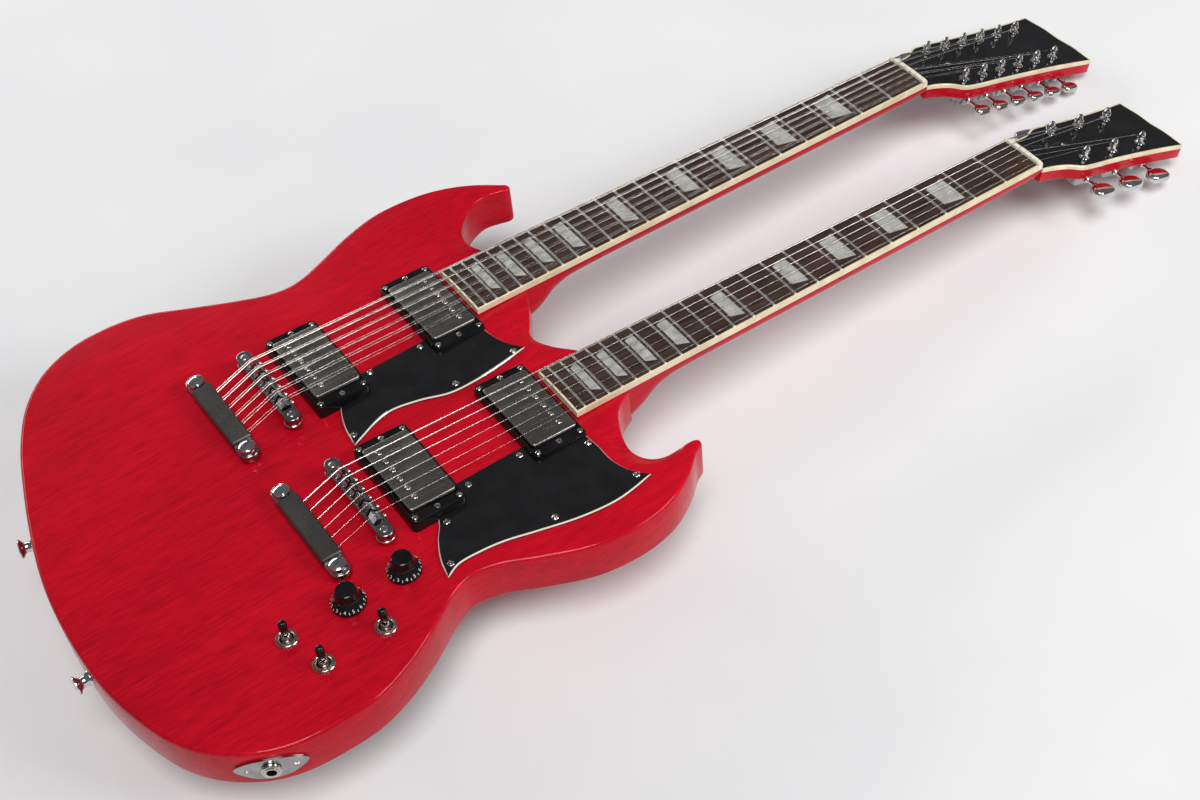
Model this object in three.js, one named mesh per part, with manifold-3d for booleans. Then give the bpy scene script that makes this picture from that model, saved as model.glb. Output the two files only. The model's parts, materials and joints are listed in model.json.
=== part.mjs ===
// Double-neck electric guitar: one solid body with a twelve-string neck and a six-string neck.
// Millimetres and degrees. +X runs along the necks to the heads, +Y to the bass side, +Z out of the face.
// The guitar lies on its back: z = 0 is the body's flat back, and x = 0 is the line of the two bridges.
import * as THREE from 'three';
import { mergeVertices } from 'three/addons/utils/BufferGeometryUtils.js';
import Module from 'manifold-3d';

const wasm = await Module();
wasm.setup();

// Fits and cuts
const gap = 0.3;
const overrun = 60;
const roundSides = 16;
const smallSides = 8;
const wheelSides = 12;
const hexSides = 6;
const scoopSides = 24;
const tightTurnShare = 0.33;
const thinWallShare = 0.42;
const insetPasses = 4;

// Body
const bodyLength = 485;
const bodyWidth = 433;
const bodyThick = 36;
const buttToBridge = 215;
const trebleHalf = 214;
const bodyRound = 3.2;
const scoopDepth = 6;
const scoopWidth = 14;
const scoopRadius = 17.3;
const pocketFloor = 10;
const topPlate = 8;
const trebleHold = 37.75;
const bassHold = 42.75;
const holdShares = [0.25, 0.75];

// Necks
const scale = 628;
const neckSpread = 136;
const neckFan = 0.3;
const neckTilt = 2.8;
const boardLength = 460;
const boardThick = 6;
const boardCrown = 305;
const heelFromBoardEnd = 46;
const notesPerOctave = 12;
const fretWide = 2.2;
const fretTall = 1.1;
const bindingWide = 1.5;
const neckBackDepth = 21;
const heelBackDepth = 42;
const heelRun = 52;
const nutRise = 1;
const throatDrop = 1;
const neckSquareShare = 0.75;
const neckSteps = 8;
const boardSteps = 3;
const nutLong = 5;
const nutTall = 2.6;
const headDrop = 6.2;
const headThick = 13;

// Strings
const stringAtNut = 1.5;
const stringAtBridge = 3;
const coilTop = 6.5;
const coilGap = 0.5;
const coilTurns = 1.25;
const coilSteps = 8;
const stringSides = 4;

// Pickups and their rings
const ringLong = 44.5;
const ringWide = 88.5;
const ringRadius = 4;
const neckRingTall = 5.6;
const bridgeRingTall = 10;
const neckPickupFromBoard = 24.7;
const bridgePickupFromBridge = 41.2;
const pickupLong = 38;
const pickupWide = 70;
const pickupTall = 19;
const pickupDrop = 1.2;
const pickupWindowGap = 0.5;
const poleRadius = 2.3;
const poleProud = 0.7;
const poleOffset = 9.5;
const routLong = 42;
const routWide = 76;
const routDepth = 22;

// Bridges and tailpieces
const bridgeLong = 88;
const bridgeWide = 12;
const bridgeThick = 6;
const bridgeTopBelowString = 6;
const bridgePostSpan = 74;
const bridgePostRadius = 2.5;
const thumbwheelRadius = 7;
const thumbwheelThick = 2.4;
const thumbwheelLift = 4.7;
const saddleLong = 9;
const saddleWide = 8.4;
const saddleSink = 1;
const bridgeRound = 1;
const postDepth = 18;
const tailFromBridge = 40;
const tailLong = 101;
const tailWide = 16;
const tailThick = 10.5;
const tailLift = 1.5;
const tailRound = 2;
const studSpan = 82.5;
const studRadius = 7;
const studProud = 1;
const studEdge = 1;
const studPostRadius = 4;
const ballRow = 3;
const ballGroove = 5;

// Pickguards
const guardThick = 2.3;
const guardTopEdge = 24;
const guardFromKnob = 8.3;

// Tuners
const sleeveRadius = 4;
const flangeRadius = 5.4;
const flangeThick = 1.5;
const housingWide = 13;
const housingTall = 9.5;
const stripThick = 1;
const wormOffset = 6;
const wormRadius = 1.4;
const keyCollar = 2.5;
const keyWaistShare = 0.14;

// Controls
const knobRowFromNeck = 67.2;
const cavityRoom = 6.7;
const cavityRound = 9;
const cavityLip = 6;
const coverThick = 2;
const knobRadius = 12.5;
const knobTall = 15;
const knobSkirtRadius = 11;
const knobSkirtTall = 3;
const knobWaistRadius = 8.6;
const knobShoulder = 5.5;
const knobTopRadius = 7.8;
const knobEdge = 1;
const knobHollow = 7;
const knobLift = 1;
const shaftDepth = 5.5;
const shaftPlay = 1;
const shaftRadius = 3;
const potRadius = 11.5;
const potTall = 11;
const bushingRadius = 4.2;
const washerRadius = 6;
const washerThick = 2.2;
const switchNutRadius = 8;
const switchNutTall = 4;
const switchNutTopRadius = 5.4;
const switchBody = 12;
const switchBodyWide = 8.4;
const leverTall = 18;
const leverRadius = 1.2;
const leverTipRadius = 3.2;
const leverBall = 1.9;
const ballShares = [[0, -1], [0.7, -0.7], [1, 0]];
const leverNeckShare = 0.8;
const leverStickShare = 0.35;
const leverTipShares = [[0.85, 0.42], [1, 0.8], [0.7, 1], [0, 1]];

// Jack and strap buttons
const jackPlateLong = 50;
const jackPlateTall = 21;
const jackPlateThick = 1.6;
const jackCentre = 19;
const jackBore = 3.5;
const jackBarrel = 5.2;
const jackNut = 6.8;
const jackNutThick = 2.4;
const jackSleeve = 9;
const jackSleeveLong = 18;
const jackSleeveSet = 2;
const jackFloor = 2;
const jackLip = 0.8;
const strapRadius = 7.2;
const strapNeckRadius = 4;
const strapTall = 12;
const strapFootRadius = 6.2;
const strapFlare = 3.5;
const strapHead = 4.5;
const strapEdge = 1.5;
const strapEdgeIn = 0.8;
const strapScrew = 2;
const strapScrewLong = 22;

// What differs between the two necks; side +1 is the bass side
const twelve = {
  tag: '12', side: 1, nutWide: 45.5, endWide: 56, headLong: 194.5, headTipHalf: 43, headTilt: 13.2,
  postFirst: 43, postPitch: 22.8, postsPerSide: 6, postOffset: 25, postTall: 10.5, postRadius: 2.6,
  housingLong: 15, keyOffset: 49.5, keyLong: 17, keyWide: 12, keyThick: 6, nutSpread: 36.5, bridgeSpread: 51,
  pairNut: 1.9, pairBridge: 2.4,
  gauges: [[0.66, 1.17], [0.46, 0.99], [0.3, 0.76], [0.25, 0.56], [0.36, 0.36], [0.25, 0.25]],
};
const six = {
  tag: '6', side: -1, nutWide: 42, endWide: 52.5, headLong: 163.5, headTipHalf: 37.5, headTilt: 14.2,
  postFirst: 51, postPitch: 35.5, postsPerSide: 3, postOffset: 20.5, postTall: 10.5, postRadius: 3,
  housingLong: 20, keyOffset: 46, keyLong: 23, keyWide: 17, keyThick: 7, nutSpread: 35, bridgeSpread: 51,
  pairNut: 0, pairBridge: 0,
  gauges: [[1.17], [0.91], [0.66], [0.43], [0.33], [0.25]],
};

// Finishes
const finish = (color, roughness, metalness) => (
  new THREE.MeshStandardMaterial({ color, roughness, metalness })
);
const cherry = finish(0xb0101c, 0.25, 0);
const rosewood = finish(0x3a241c, 0.55, 0);
const ivory = finish(0xe9e0c4, 0.4, 0);
const steel = finish(0xc9c9c6, 0.3, 1);
const chrome = finish(0xd6d6d8, 0.15, 1);
const nickel = finish(0xa8a49a, 0.25, 1);
const blackPlastic = finish(0x0c0c0d, 0.3, 0);
const greyMetal = finish(0x8d8f90, 0.45, 1);

// Closed solids and their cuts
function solidOf(geometry) {
  const bare = geometry.clone();
  bare.deleteAttribute('normal');
  bare.deleteAttribute('uv');
  const welded = mergeVertices(bare);
  const vertProperties = new Float32Array(welded.attributes.position.array);
  const triVerts = new Uint32Array(welded.index.array);
  return new wasm.Manifold(new wasm.Mesh({ numProp: 3, vertProperties, triVerts }));
}

function geometryOf(solid) {
  const mesh = solid.getMesh();
  const geometry = new THREE.BufferGeometry();
  geometry.setAttribute('position', new THREE.BufferAttribute(new Float32Array(mesh.vertProperties), 3));
  geometry.setIndex(new THREE.BufferAttribute(new Uint32Array(mesh.triVerts), 1));
  geometry.computeVertexNormals();
  return geometry;
}

const join = (parts) => parts.map(solidOf).reduce((all, one) => all.add(one));
const union = (parts) => geometryOf(join(parts));
const cut = (parts, tools) => geometryOf(tools.length ? join(parts).subtract(join(tools)) : join(parts));
const common = (a, b) => geometryOf(solidOf(a).intersect(solidOf(b)));

// Plain solids given by their limits
function block(x0, x1, y0, y1, z0, z1) {
  const geometry = new THREE.BoxGeometry(x1 - x0, y1 - y0, z1 - z0);
  return geometry.translate((x0 + x1) / 2, (y0 + y1) / 2, (z0 + z1) / 2);
}

function disc(x, y, z0, z1, radius, sides = roundSides, topRadius = radius) {
  const geometry = new THREE.CylinderGeometry(topRadius, radius, z1 - z0, sides);
  return geometry.rotateX(Math.PI / 2).translate(x, y, (z0 + z1) / 2);
}

function turned(profile, sides = roundSides) {
  const geometry = new THREE.LatheGeometry(profile.map(([r, z]) => new THREE.Vector2(r, z)), sides);
  return geometry.rotateX(Math.PI / 2);
}

function plate(points, z0, z1) {
  const options = { depth: z1 - z0, bevelEnabled: false };
  return new THREE.ExtrudeGeometry(new THREE.Shape(points), options).translate(0, 0, z0);
}

// Distance straight across an outline from one of its points
function acrossFrom(points, i, inward) {
  const reaches = points.map((start, k) => {
    const along = points[(k + 1) % points.length].clone().sub(start);
    const away = start.clone().sub(points[i]);
    const share = away.cross(inward) / inward.cross(along);
    const reach = away.cross(along) / inward.cross(along);
    const own = k === i || (k + 1) % points.length === i;
    return own || share < 0 || share > 1 || reach < 0 ? Infinity : reach;
  });
  return Math.min(...reaches);
}

// Outline moved in square to itself, less at a tight outside turn and where it is thin
function inset(points, distance) {
  const count = points.length;
  const inwards = [];
  let reaches = points.map((p, i) => {
    const before = points[(i + count - 1) % count].clone().sub(p);
    const after = points[(i + 1) % count].clone().sub(p);
    const along = after.clone().normalize().sub(before.clone().normalize()).normalize();
    inwards.push(new THREE.Vector2(-along.y, along.x));
    const turn = Math.PI - before.angleTo(after);
    const tight = tightTurnShare * (before.length() + after.length()) / turn;
    const thin = thinWallShare * acrossFrom(points, i, inwards[i]);
    return Math.min(distance, before.cross(after) < 0 ? tight : Infinity, thin);
  });
  for (let pass = 0; pass < insetPasses; pass += 1) {
    reaches = reaches.map((own, i) => (
      Math.min(own, (reaches[(i + count - 1) % count] + own + reaches[(i + 1) % count]) / 3)
    ));
  }
  return points.map((p, i) => p.clone().addScaledVector(inwards[i], reaches[i]));
}

// Skin through rings of equal count; the flat ends are filled as they are seen along an axis
function skin(rings, seenFrom) {
  const count = rings[0].length;
  const positions = rings.flat().flatMap((p) => [p.x, p.y, p.z]);
  const faces = [];
  for (let r = 0; r < rings.length - 1; r += 1) {
    for (let k = 0; k < count; k += 1) {
      const a = r * count + k;
      const b = r * count + ((k + 1) % count);
      faces.push(a, b, a + count, b, b + count, a + count);
    }
  }
  const last = (rings.length - 1) * count;
  const filled = (ring) => THREE.ShapeUtils.triangulateShape(ring.map(seenFrom), []);
  filled(rings[0]).forEach(([a, b, c]) => faces.push(a, c, b));
  filled(rings[rings.length - 1]).forEach(([a, b, c]) => faces.push(last + a, last + b, last + c));
  const geometry = new THREE.BufferGeometry();
  geometry.setAttribute('position', new THREE.Float32BufferAttribute(positions, 3));
  geometry.setIndex(faces);
  return geometry;
}

const fromAbove = (p) => new THREE.Vector2(p.x, p.y);
const fromHead = (p) => new THREE.Vector2(p.y, p.z);
const loft = (rings) => skin(rings, fromHead);

// Plate with both edges rounded
function softPlate(points, z0, z1, round, topSteps = 1) {
  const rings = [[round, z0], [0, z0 + round]];
  for (let k = 0; k <= topSteps; k += 1) {
    const turn = Math.PI / 2 * k / topSteps;
    rings.push([round * (1 - Math.cos(turn)), z1 - round * (1 - Math.sin(turn))]);
  }
  const ringAt = ([drawIn, z]) => inset(points, drawIn).map((p) => new THREE.Vector3(p.x, p.y, z));
  return skin(rings.map(ringAt), fromAbove);
}

// Corners of a closed polygon rounded with short arcs
function rounded(points, radius, steps = 2) {
  const out = [];
  points.forEach((corner, i) => {
    const before = points[(i + points.length - 1) % points.length];
    const after = points[(i + 1) % points.length];
    const toBefore = before.clone().sub(corner).normalize();
    const toAfter = after.clone().sub(corner).normalize();
    const half = Math.acos(toBefore.dot(toAfter)) / 2;
    const middle = toBefore.clone().add(toAfter).normalize();
    const centre = corner.clone().addScaledVector(middle, radius / Math.sin(half));
    const start = corner.clone().addScaledVector(toBefore, radius / Math.tan(half)).sub(centre);
    const end = corner.clone().addScaledVector(toAfter, radius / Math.tan(half)).sub(centre);
    const sweep = Math.atan2(start.x * end.y - start.y * end.x, start.dot(end));
    for (let k = 0; k <= steps; k += 1) {
      out.push(start.clone().rotateAround(new THREE.Vector2(), sweep * (k / steps)).add(centre));
    }
  });
  return out;
}

const corners = (x0, x1, y0, y1) => [
  new THREE.Vector2(x0, y0), new THREE.Vector2(x1, y0), new THREE.Vector2(x1, y1), new THREE.Vector2(x0, y1),
];
const smooth = (points, steps) => {
  const flat = points.map((p) => new THREE.Vector3(p.x, p.y, 0));
  const curve = new THREE.CatmullRomCurve3(flat, false, 'centripetal');
  return curve.getPoints((points.length - 1) * steps).map((p) => new THREE.Vector2(p.x, p.y));
};

// Curve that passes through a list of points in straight runs
class Route extends THREE.Curve {
  constructor(points) {
    super();
    this.points = points;
  }

  getPointAt(share) {
    const place = share * (this.points.length - 1);
    const from = Math.min(Math.floor(place), this.points.length - 2);
    return this.points[from].clone().lerp(this.points[from + 1], place - from);
  }

  getTangentAt(share) {
    const last = this.points.length - 1;
    const at = Math.round(share * last);
    const run = (from, to) => this.points[to].clone().sub(this.points[from]).normalize();
    const into = run(Math.max(at - 1, 0), Math.max(at, 1));
    return into.add(run(Math.min(at, last - 1), Math.min(at + 1, last))).normalize();
  }
}

function tube(points, radius, sides) {
  const section = new THREE.Shape(Array.from({ length: sides }, (_, k) => (
    new THREE.Vector2(radius, 0).rotateAround(new THREE.Vector2(), 2 * Math.PI * k / sides)
  )));
  return new THREE.ExtrudeGeometry(section, { steps: points.length - 1, extrudePath: new Route(points) });
}

// Frames: a neck's own frame, its fingerboard plane and its head
const rad = THREE.MathUtils.degToRad;
const boardEnd = scale - boardLength;
const fretCount = Math.floor(notesPerOctave * Math.log2(scale / (boardEnd + fretWide)));
const bridgePickupFromBoard = boardEnd - bridgePickupFromBridge;
const planeHeight = bodyThick + gap + boardThick + heelFromBoardEnd * Math.sin(rad(neckTilt));
const headStart = boardLength + nutLong + 2 * gap;

const neckFrame = (neck) => new THREE.Matrix4()
  .makeRotationZ(rad(neck.side * neckFan))
  .setPosition(0, neck.side * neckSpread / 2, 0);
const planeFrame = new THREE.Matrix4().makeRotationY(rad(neckTilt)).setPosition(boardEnd, 0, planeHeight);
const headFrame = (neck) => new THREE.Matrix4()
  .makeRotationY(rad(neck.headTilt))
  .setPosition(headStart, 0, -headDrop);
const onNeck = (neck, x, y) => {
  const p = new THREE.Vector3(x, y, 0).applyMatrix4(neckFrame(neck));
  return new THREE.Vector2(p.x, p.y);
};
const halfWidth = (neck, x) => (neck.endWide + (neck.nutWide - neck.endWide) * x / boardLength) / 2;
const fretAt = (k) => boardLength - scale * (1 - 2 ** (-k / notesPerOctave));

// Body outline: shares of the length from the butt and of the width from the treble side
const rimShares = [
  [0.88, 0.744], [0.872, 0.776], [0.876, 0.804], [0.895, 0.829], [0.92, 0.846], [0.946, 0.854],
  [0.97, 0.849], [0.988, 0.843], [0.996, 0.845], [1, 0.851], [0.998, 0.859], [0.991, 0.866],
  [0.951, 0.902], [0.905, 0.929],
  [0.855, 0.944], [0.781, 0.947], [0.716, 0.929], [0.662, 0.905], [0.61, 0.884], [0.579, 0.88],
  [0.548, 0.887], [0.495, 0.913], [0.429, 0.951], [0.365, 0.987], [0.303, 1], [0.239, 0.995],
  [0.179, 0.966], [0.13, 0.913], [0.089, 0.831], [0.058, 0.737], [0.029, 0.628], [0.008, 0.517],
  [0, 0.406], [0.004, 0.282], [0.021, 0.192], [0.043, 0.125], [0.076, 0.072], [0.126, 0.028],
  [0.175, 0.007], [0.237, 0], [0.295, 0.003], [0.353, 0.023], [0.41, 0.055], [0.468, 0.095],
  [0.503, 0.109], [0.546, 0.1], [0.606, 0.067], [0.672, 0.036], [0.746, 0.025], [0.81, 0.036],
  [0.862, 0.067], [0.889, 0.092], [0.901, 0.1], [0.908, 0.105], [0.909, 0.113], [0.904, 0.118],
  [0.894, 0.12], [0.87, 0.119],
  [0.847, 0.123], [0.83, 0.139], [0.821, 0.169], [0.825, 0.199], [0.837, 0.231], [0.856, 0.257],
];
const middleRimShares = [
  [0.868, 0.418], [0.846, 0.448], [0.834, 0.48], [0.836, 0.503], [0.848, 0.524], [0.864, 0.552],
];

// Across the body, the middle shares keep to the necks and the outer ones reach for the rims
function acrossBody(share) {
  const [low, high] = holdShares;
  const treble = -neckSpread / 2 - trebleHold;
  const bass = neckSpread / 2 + bassHold;
  if (share < low) return THREE.MathUtils.mapLinear(share, 0, low, -trebleHalf, treble);
  if (share > high) return THREE.MathUtils.mapLinear(share, high, 1, bass, bodyWidth - trebleHalf);
  return THREE.MathUtils.mapLinear(share, low, high, treble, bass);
}

const bodyPoint = ([along, across]) => (
  new THREE.Vector2(along * bodyLength - buttToBridge, acrossBody(across))
);
const heelLine = boardEnd + heelFromBoardEnd;
const heelCorner = (neck, sign) => onNeck(neck, heelLine, sign * halfWidth(neck, heelFromBoardEnd));

function bodyOutline() {
  const outer = smooth([heelCorner(twelve, 1), ...rimShares.map(bodyPoint), heelCorner(six, -1)], 2);
  const inner = smooth([heelCorner(six, 1), ...middleRimShares.map(bodyPoint), heelCorner(twelve, -1)], 3);
  return [...outer, ...inner];
}
const outline = bodyOutline();

// Outward direction at a corner of the rim
function outwardAt(i) {
  const before = outline[(i + outline.length - 1) % outline.length];
  const along = outline[(i + 1) % outline.length].clone().sub(before).normalize();
  return new THREE.Vector2(along.y, -along.x);
}

// Point of the rim nearest to a place, with the outward direction of the flat that it lies on
function rimAt(place) {
  let best = { distance: Infinity };
  outline.forEach((start, i) => {
    const along = outline[(i + 1) % outline.length].clone().sub(start);
    const share = THREE.MathUtils.clamp(place.clone().sub(start).dot(along) / along.lengthSq(), 0, 1);
    const point = start.clone().addScaledVector(along, share);
    const distance = point.distanceTo(place);
    along.normalize();
    if (distance < best.distance) best = { distance, point, out: new THREE.Vector2(along.y, -along.x) };
  });
  return best;
}

// Frame on the rim: local +Z points out of the side, local +X runs along it
function rimFrame(rim, height) {
  const out = new THREE.Vector3(rim.out.x, rim.out.y, 0);
  const up = new THREE.Vector3(0, 0, 1);
  const frame = new THREE.Matrix4().makeBasis(up.clone().cross(out), up, out);
  return frame.setPosition(rim.point.x, rim.point.y, height);
}

// Places on the rim, as shares of the body
const jackShares = [0.136, 0.022];
const strapShares = [[0.03, 0.647], [0, 0.342]];
const scoopShares = [[0.905, 0.781], [0.88, 0.501], [0.856, 0.176]];
const jackRim = rimAt(bodyPoint(jackShares));
const strapRims = strapShares.map((share) => rimAt(bodyPoint(share)));

// Places of the controls: shares of the body's length and of the way from the knobs' row to the rim
const knobShares = [[0.344, 0], [0.435, 0]];
const toggleShares = [[0.245, 0], [0.266, 0.4175], [0.365, 0.412]];
const cavityShares = [[0.169, 0.626], [0.394, 0.626], [0.472, 0.242]];
const knobRow = neckSpread / 2 + knobRowFromNeck;
const controlPoint = ([along, across]) => new THREE.Vector2(
  along * bodyLength - buttToBridge, -knobRow - across * (trebleHalf - knobRow),
);
const knobs = knobShares.map(controlPoint);
const toggles = toggleShares.map(controlPoint);
const cavityEdge = -knobRow + potRadius + cavityRoom;
const cavityCorners = cavityShares.map(controlPoint);
cavityCorners.push(new THREE.Vector2(cavityCorners.at(-1).x, cavityEdge));
cavityCorners.push(new THREE.Vector2(cavityCorners[0].x, cavityEdge));
const cavityTop = bodyThick - topPlate;

// A polygon moved out by its lip, about its middle line on each edge
function widened(points, lip) {
  return points.map((corner, i) => {
    const before = points[(i + points.length - 1) % points.length];
    const after = points[(i + 1) % points.length];
    const a = corner.clone().sub(before).normalize();
    const b = after.clone().sub(corner).normalize();
    const normal = new THREE.Vector2(a.y, -a.x).add(new THREE.Vector2(b.y, -b.x)).normalize();
    const half = Math.sqrt((1 + a.dot(b)) / 2);
    return corner.clone().addScaledVector(normal, lip / half);
  });
}

// Pickup places on the fingerboard plane: x of the middle, ring height, side of the pole screws
const pickupSpots = [
  { name: 'neck', x: -neckPickupFromBoard, tall: neckRingTall, poles: 1 },
  { name: 'bridge', x: -bridgePickupFromBoard, tall: bridgeRingTall, poles: -1 },
];

function makeBody() {
  const scoopTop = scoopRadius + scoopWidth * (1 + gap / scoopDepth);
  const tools = scoopShares.map(bodyPoint).map((p) => (
    disc(p.x, p.y, bodyThick - scoopDepth, bodyThick + gap, scoopRadius, scoopSides, scoopTop)
  ));
  [twelve, six].forEach((neck) => {
    const frame = neckFrame(neck);
    const side = (x) => halfWidth(neck, x) + gap;
    const pocket = [
      new THREE.Vector2(boardEnd - gap, -side(0)), new THREE.Vector2(boardEnd + overrun, -side(overrun)),
      new THREE.Vector2(boardEnd + overrun, side(overrun)), new THREE.Vector2(boardEnd - gap, side(0)),
    ];
    tools.push(plate(pocket, pocketFloor, bodyThick + overrun).applyMatrix4(frame));
    pickupSpots.forEach(({ x }) => {
      const middle = boardEnd + x;
      const limits = corners(middle - routLong / 2, middle + routLong / 2, -routWide / 2, routWide / 2);
      const rout = rounded(limits, ringRadius);
      tools.push(plate(rout, bodyThick - routDepth, bodyThick + overrun).applyMatrix4(frame));
    });
    [-1, 1].forEach((sign) => {
      const hole = (x, span, radius) => (
        disc(x, sign * span / 2, postDepth - gap, bodyThick + overrun, radius + gap, smallSides)
      );
      tools.push(hole(0, bridgePostSpan, bridgePostRadius).applyMatrix4(frame));
      tools.push(hole(-tailFromBridge, studSpan, studPostRadius).applyMatrix4(frame));
    });
  });
  tools.push(plate(rounded(cavityCorners, cavityRound), -overrun, cavityTop));
  const recess = rounded(widened(cavityCorners, cavityLip), cavityRound);
  tools.push(plate(recess, -overrun, coverThick + 2 * gap));
  [...knobs, ...toggles].forEach((p) => {
    tools.push(disc(p.x, p.y, 0, bodyThick + overrun, bushingRadius + gap, smallSides));
  });
  tools.push(disc(0, 0, -overrun, overrun, jackSleeve + gap).applyMatrix4(rimFrame(jackRim, jackCentre)));
  strapRims.forEach((rim) => {
    const hole = disc(0, 0, -strapScrewLong - gap, overrun, strapScrew + gap, smallSides);
    tools.push(hole.applyMatrix4(rimFrame(rim, bodyThick / 2)));
  });
  return cut([softPlate(outline, 0, bodyThick, bodyRound, 2)], tools);
}

// Neck section: half an oval under a flat top; a low power makes it square
function neckRing(x, half, top, bottom, power = neckSquareShare) {
  return Array.from({ length: neckSteps + 1 }, (_, k) => {
    const turn = Math.PI * k / neckSteps;
    const c = -Math.cos(turn);
    const across = Math.sign(c) * Math.abs(c) ** power * half;
    return new THREE.Vector3(x, across, top + (bottom - top) * Math.abs(Math.sin(turn)) ** power);
  });
}

// Head half outline: shares of the head's length and of its tip half width
const headShares = {
  12: [
    [0, 0.53], [0.06, 0.56], [0.125, 0.65], [0.18, 0.82], [0.235, 0.865], [0.45, 0.875], [0.75, 0.92], [0.975, 1],
  ],
  6: [
    [0, 0.58], [0.08, 0.61], [0.17, 0.69], [0.245, 0.845], [0.31, 0.87], [0.5, 0.87], [0.75, 0.92], [0.975, 1],
  ],
};
const headTopShares = [[0.99, 0.96], [0.993, 0.72], [1, 0.44], [0.996, 0.18], [0.992, 0]];

function headOutline(neck) {
  const at = ([along, across]) => new THREE.Vector2(along * neck.headLong, across * neck.headTipHalf);
  const half = [
    ...smooth(headShares[neck.tag].map(at), 2),
    ...headTopShares.map(at),
  ];
  const other = half.slice(0, -1).reverse().map((p) => new THREE.Vector2(p.x, -p.y));
  return [...half, ...other].reverse();
}

const postSpots = (neck, sign) => Array.from({ length: neck.postsPerSide }, (_, i) => (
  new THREE.Vector2(neck.postFirst + i * neck.postPitch, sign * neck.postOffset)
));

function makeNeck(neck) {
  const top = -boardThick - gap;
  const heel = heelFromBoardEnd + gap;
  const taperShares = [
    [0, 1, 0.3], [0.12, 0.93, 0.35], [0.3, 0.74, 0.45], [0.5, 0.35, 0.6], [0.75, 0.1, 0.7], [1, 0.04, 0.75],
  ];
  const rings = taperShares.map(([along, deep, power]) => {
    const x = heel + along * heelRun;
    const bottom = -neckBackDepth - deep * (heelBackDepth - neckBackDepth);
    return neckRing(x, halfWidth(neck, x), top, bottom, power);
  });
  const atNut = nutRise - neckBackDepth;
  rings.push(neckRing(boardLength / 2, halfWidth(neck, boardLength / 2), top, -neckBackDepth));
  rings.push(neckRing(boardLength - nutLong, halfWidth(neck, boardLength), top, atNut));
  rings.push(neckRing(headStart - gap / 2, neck.nutWide / 2, top, atNut));
  rings.push(neckRing(headStart + headThick, neck.nutWide / 2, top - headDrop - throatDrop, -neckBackDepth));
  const tenon = [
    new THREE.Vector2(0, -halfWidth(neck, 0)), new THREE.Vector2(heel + gap, -halfWidth(neck, heel)),
    new THREE.Vector2(heel + gap, halfWidth(neck, heel)), new THREE.Vector2(0, halfWidth(neck, 0)),
  ];
  const shaft = loft(rings).applyMatrix4(planeFrame);
  const foot = plate(tenon, -heelBackDepth, top).applyMatrix4(planeFrame);
  const head = plate(headOutline(neck), -headThick, 0).applyMatrix4(headFrame(neck)).applyMatrix4(planeFrame);
  const tools = [
    block(-overrun, boardEnd + heelFromBoardEnd + gap, -overrun, overrun, -overrun, pocketFloor + gap),
    block(-overrun, boardEnd, -overrun, overrun, -overrun, bodyThick + overrun),
  ];
  [-1, 1].forEach((sign) => postSpots(neck, sign).forEach((p) => {
    const hole = disc(p.x, p.y, -headThick - overrun, overrun, sleeveRadius + gap, smallSides);
    tools.push(hole.applyMatrix4(headFrame(neck)).applyMatrix4(planeFrame));
  }));
  return cut([shaft, foot, head], tools);
}

const crown = (y) => -(y ** 2) / (2 * boardCrown);

// Section of a crowned bar across the board, from a flat bottom to a height above the board's top
function crownedRing(x, half, bottom, lift) {
  const ring = [new THREE.Vector3(x, half, bottom)];
  for (let k = 0; k <= boardSteps; k += 1) {
    const y = half * (1 - 2 * k / boardSteps);
    ring.push(new THREE.Vector3(x, y, crown(y) + lift));
  }
  ring.push(new THREE.Vector3(x, -half, bottom));
  return ring;
}

function makeFingerboard(neck) {
  const board = loft([
    crownedRing(0, halfWidth(neck, 0), -boardThick, 0),
    crownedRing(boardLength, halfWidth(neck, boardLength), -boardThick, 0),
  ]);
  const frets = Array.from({ length: fretCount }, (_, i) => {
    const x = fretAt(i + 1);
    const half = halfWidth(neck, x) - bindingWide;
    return loft([
      crownedRing(x - fretWide / 2, half, -boardThick / 2, fretTall),
      crownedRing(x + fretWide / 2, half, -boardThick / 2, fretTall),
    ]);
  });
  return union([board, ...frets]);
}

// Strings from bass to treble: places across at the nut and at the bridge, diameter, side of the head
function stringList(neck) {
  const list = [];
  const last = neck.gauges.length - 1;
  neck.gauges.forEach((pair, course) => {
    const share = 0.5 - course / last;
    pair.forEach((diameter, k) => {
      const offset = pair.length > 1 ? 0.5 - k : 0;
      list.push({
        diameter,
        nut: share * neck.nutSpread + offset * neck.pairNut,
        bridge: share * neck.bridgeSpread + offset * neck.pairBridge,
      });
    });
  });
  const perSide = list.length / 2;
  list.forEach((string, i) => {
    string.sign = i < perSide ? 1 : -1;
    string.post = i < perSide ? i : list.length - 1 - i;
  });
  return list;
}

const tailHoleHeight = bodyThick + tailLift + tailThick / 2;

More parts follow.
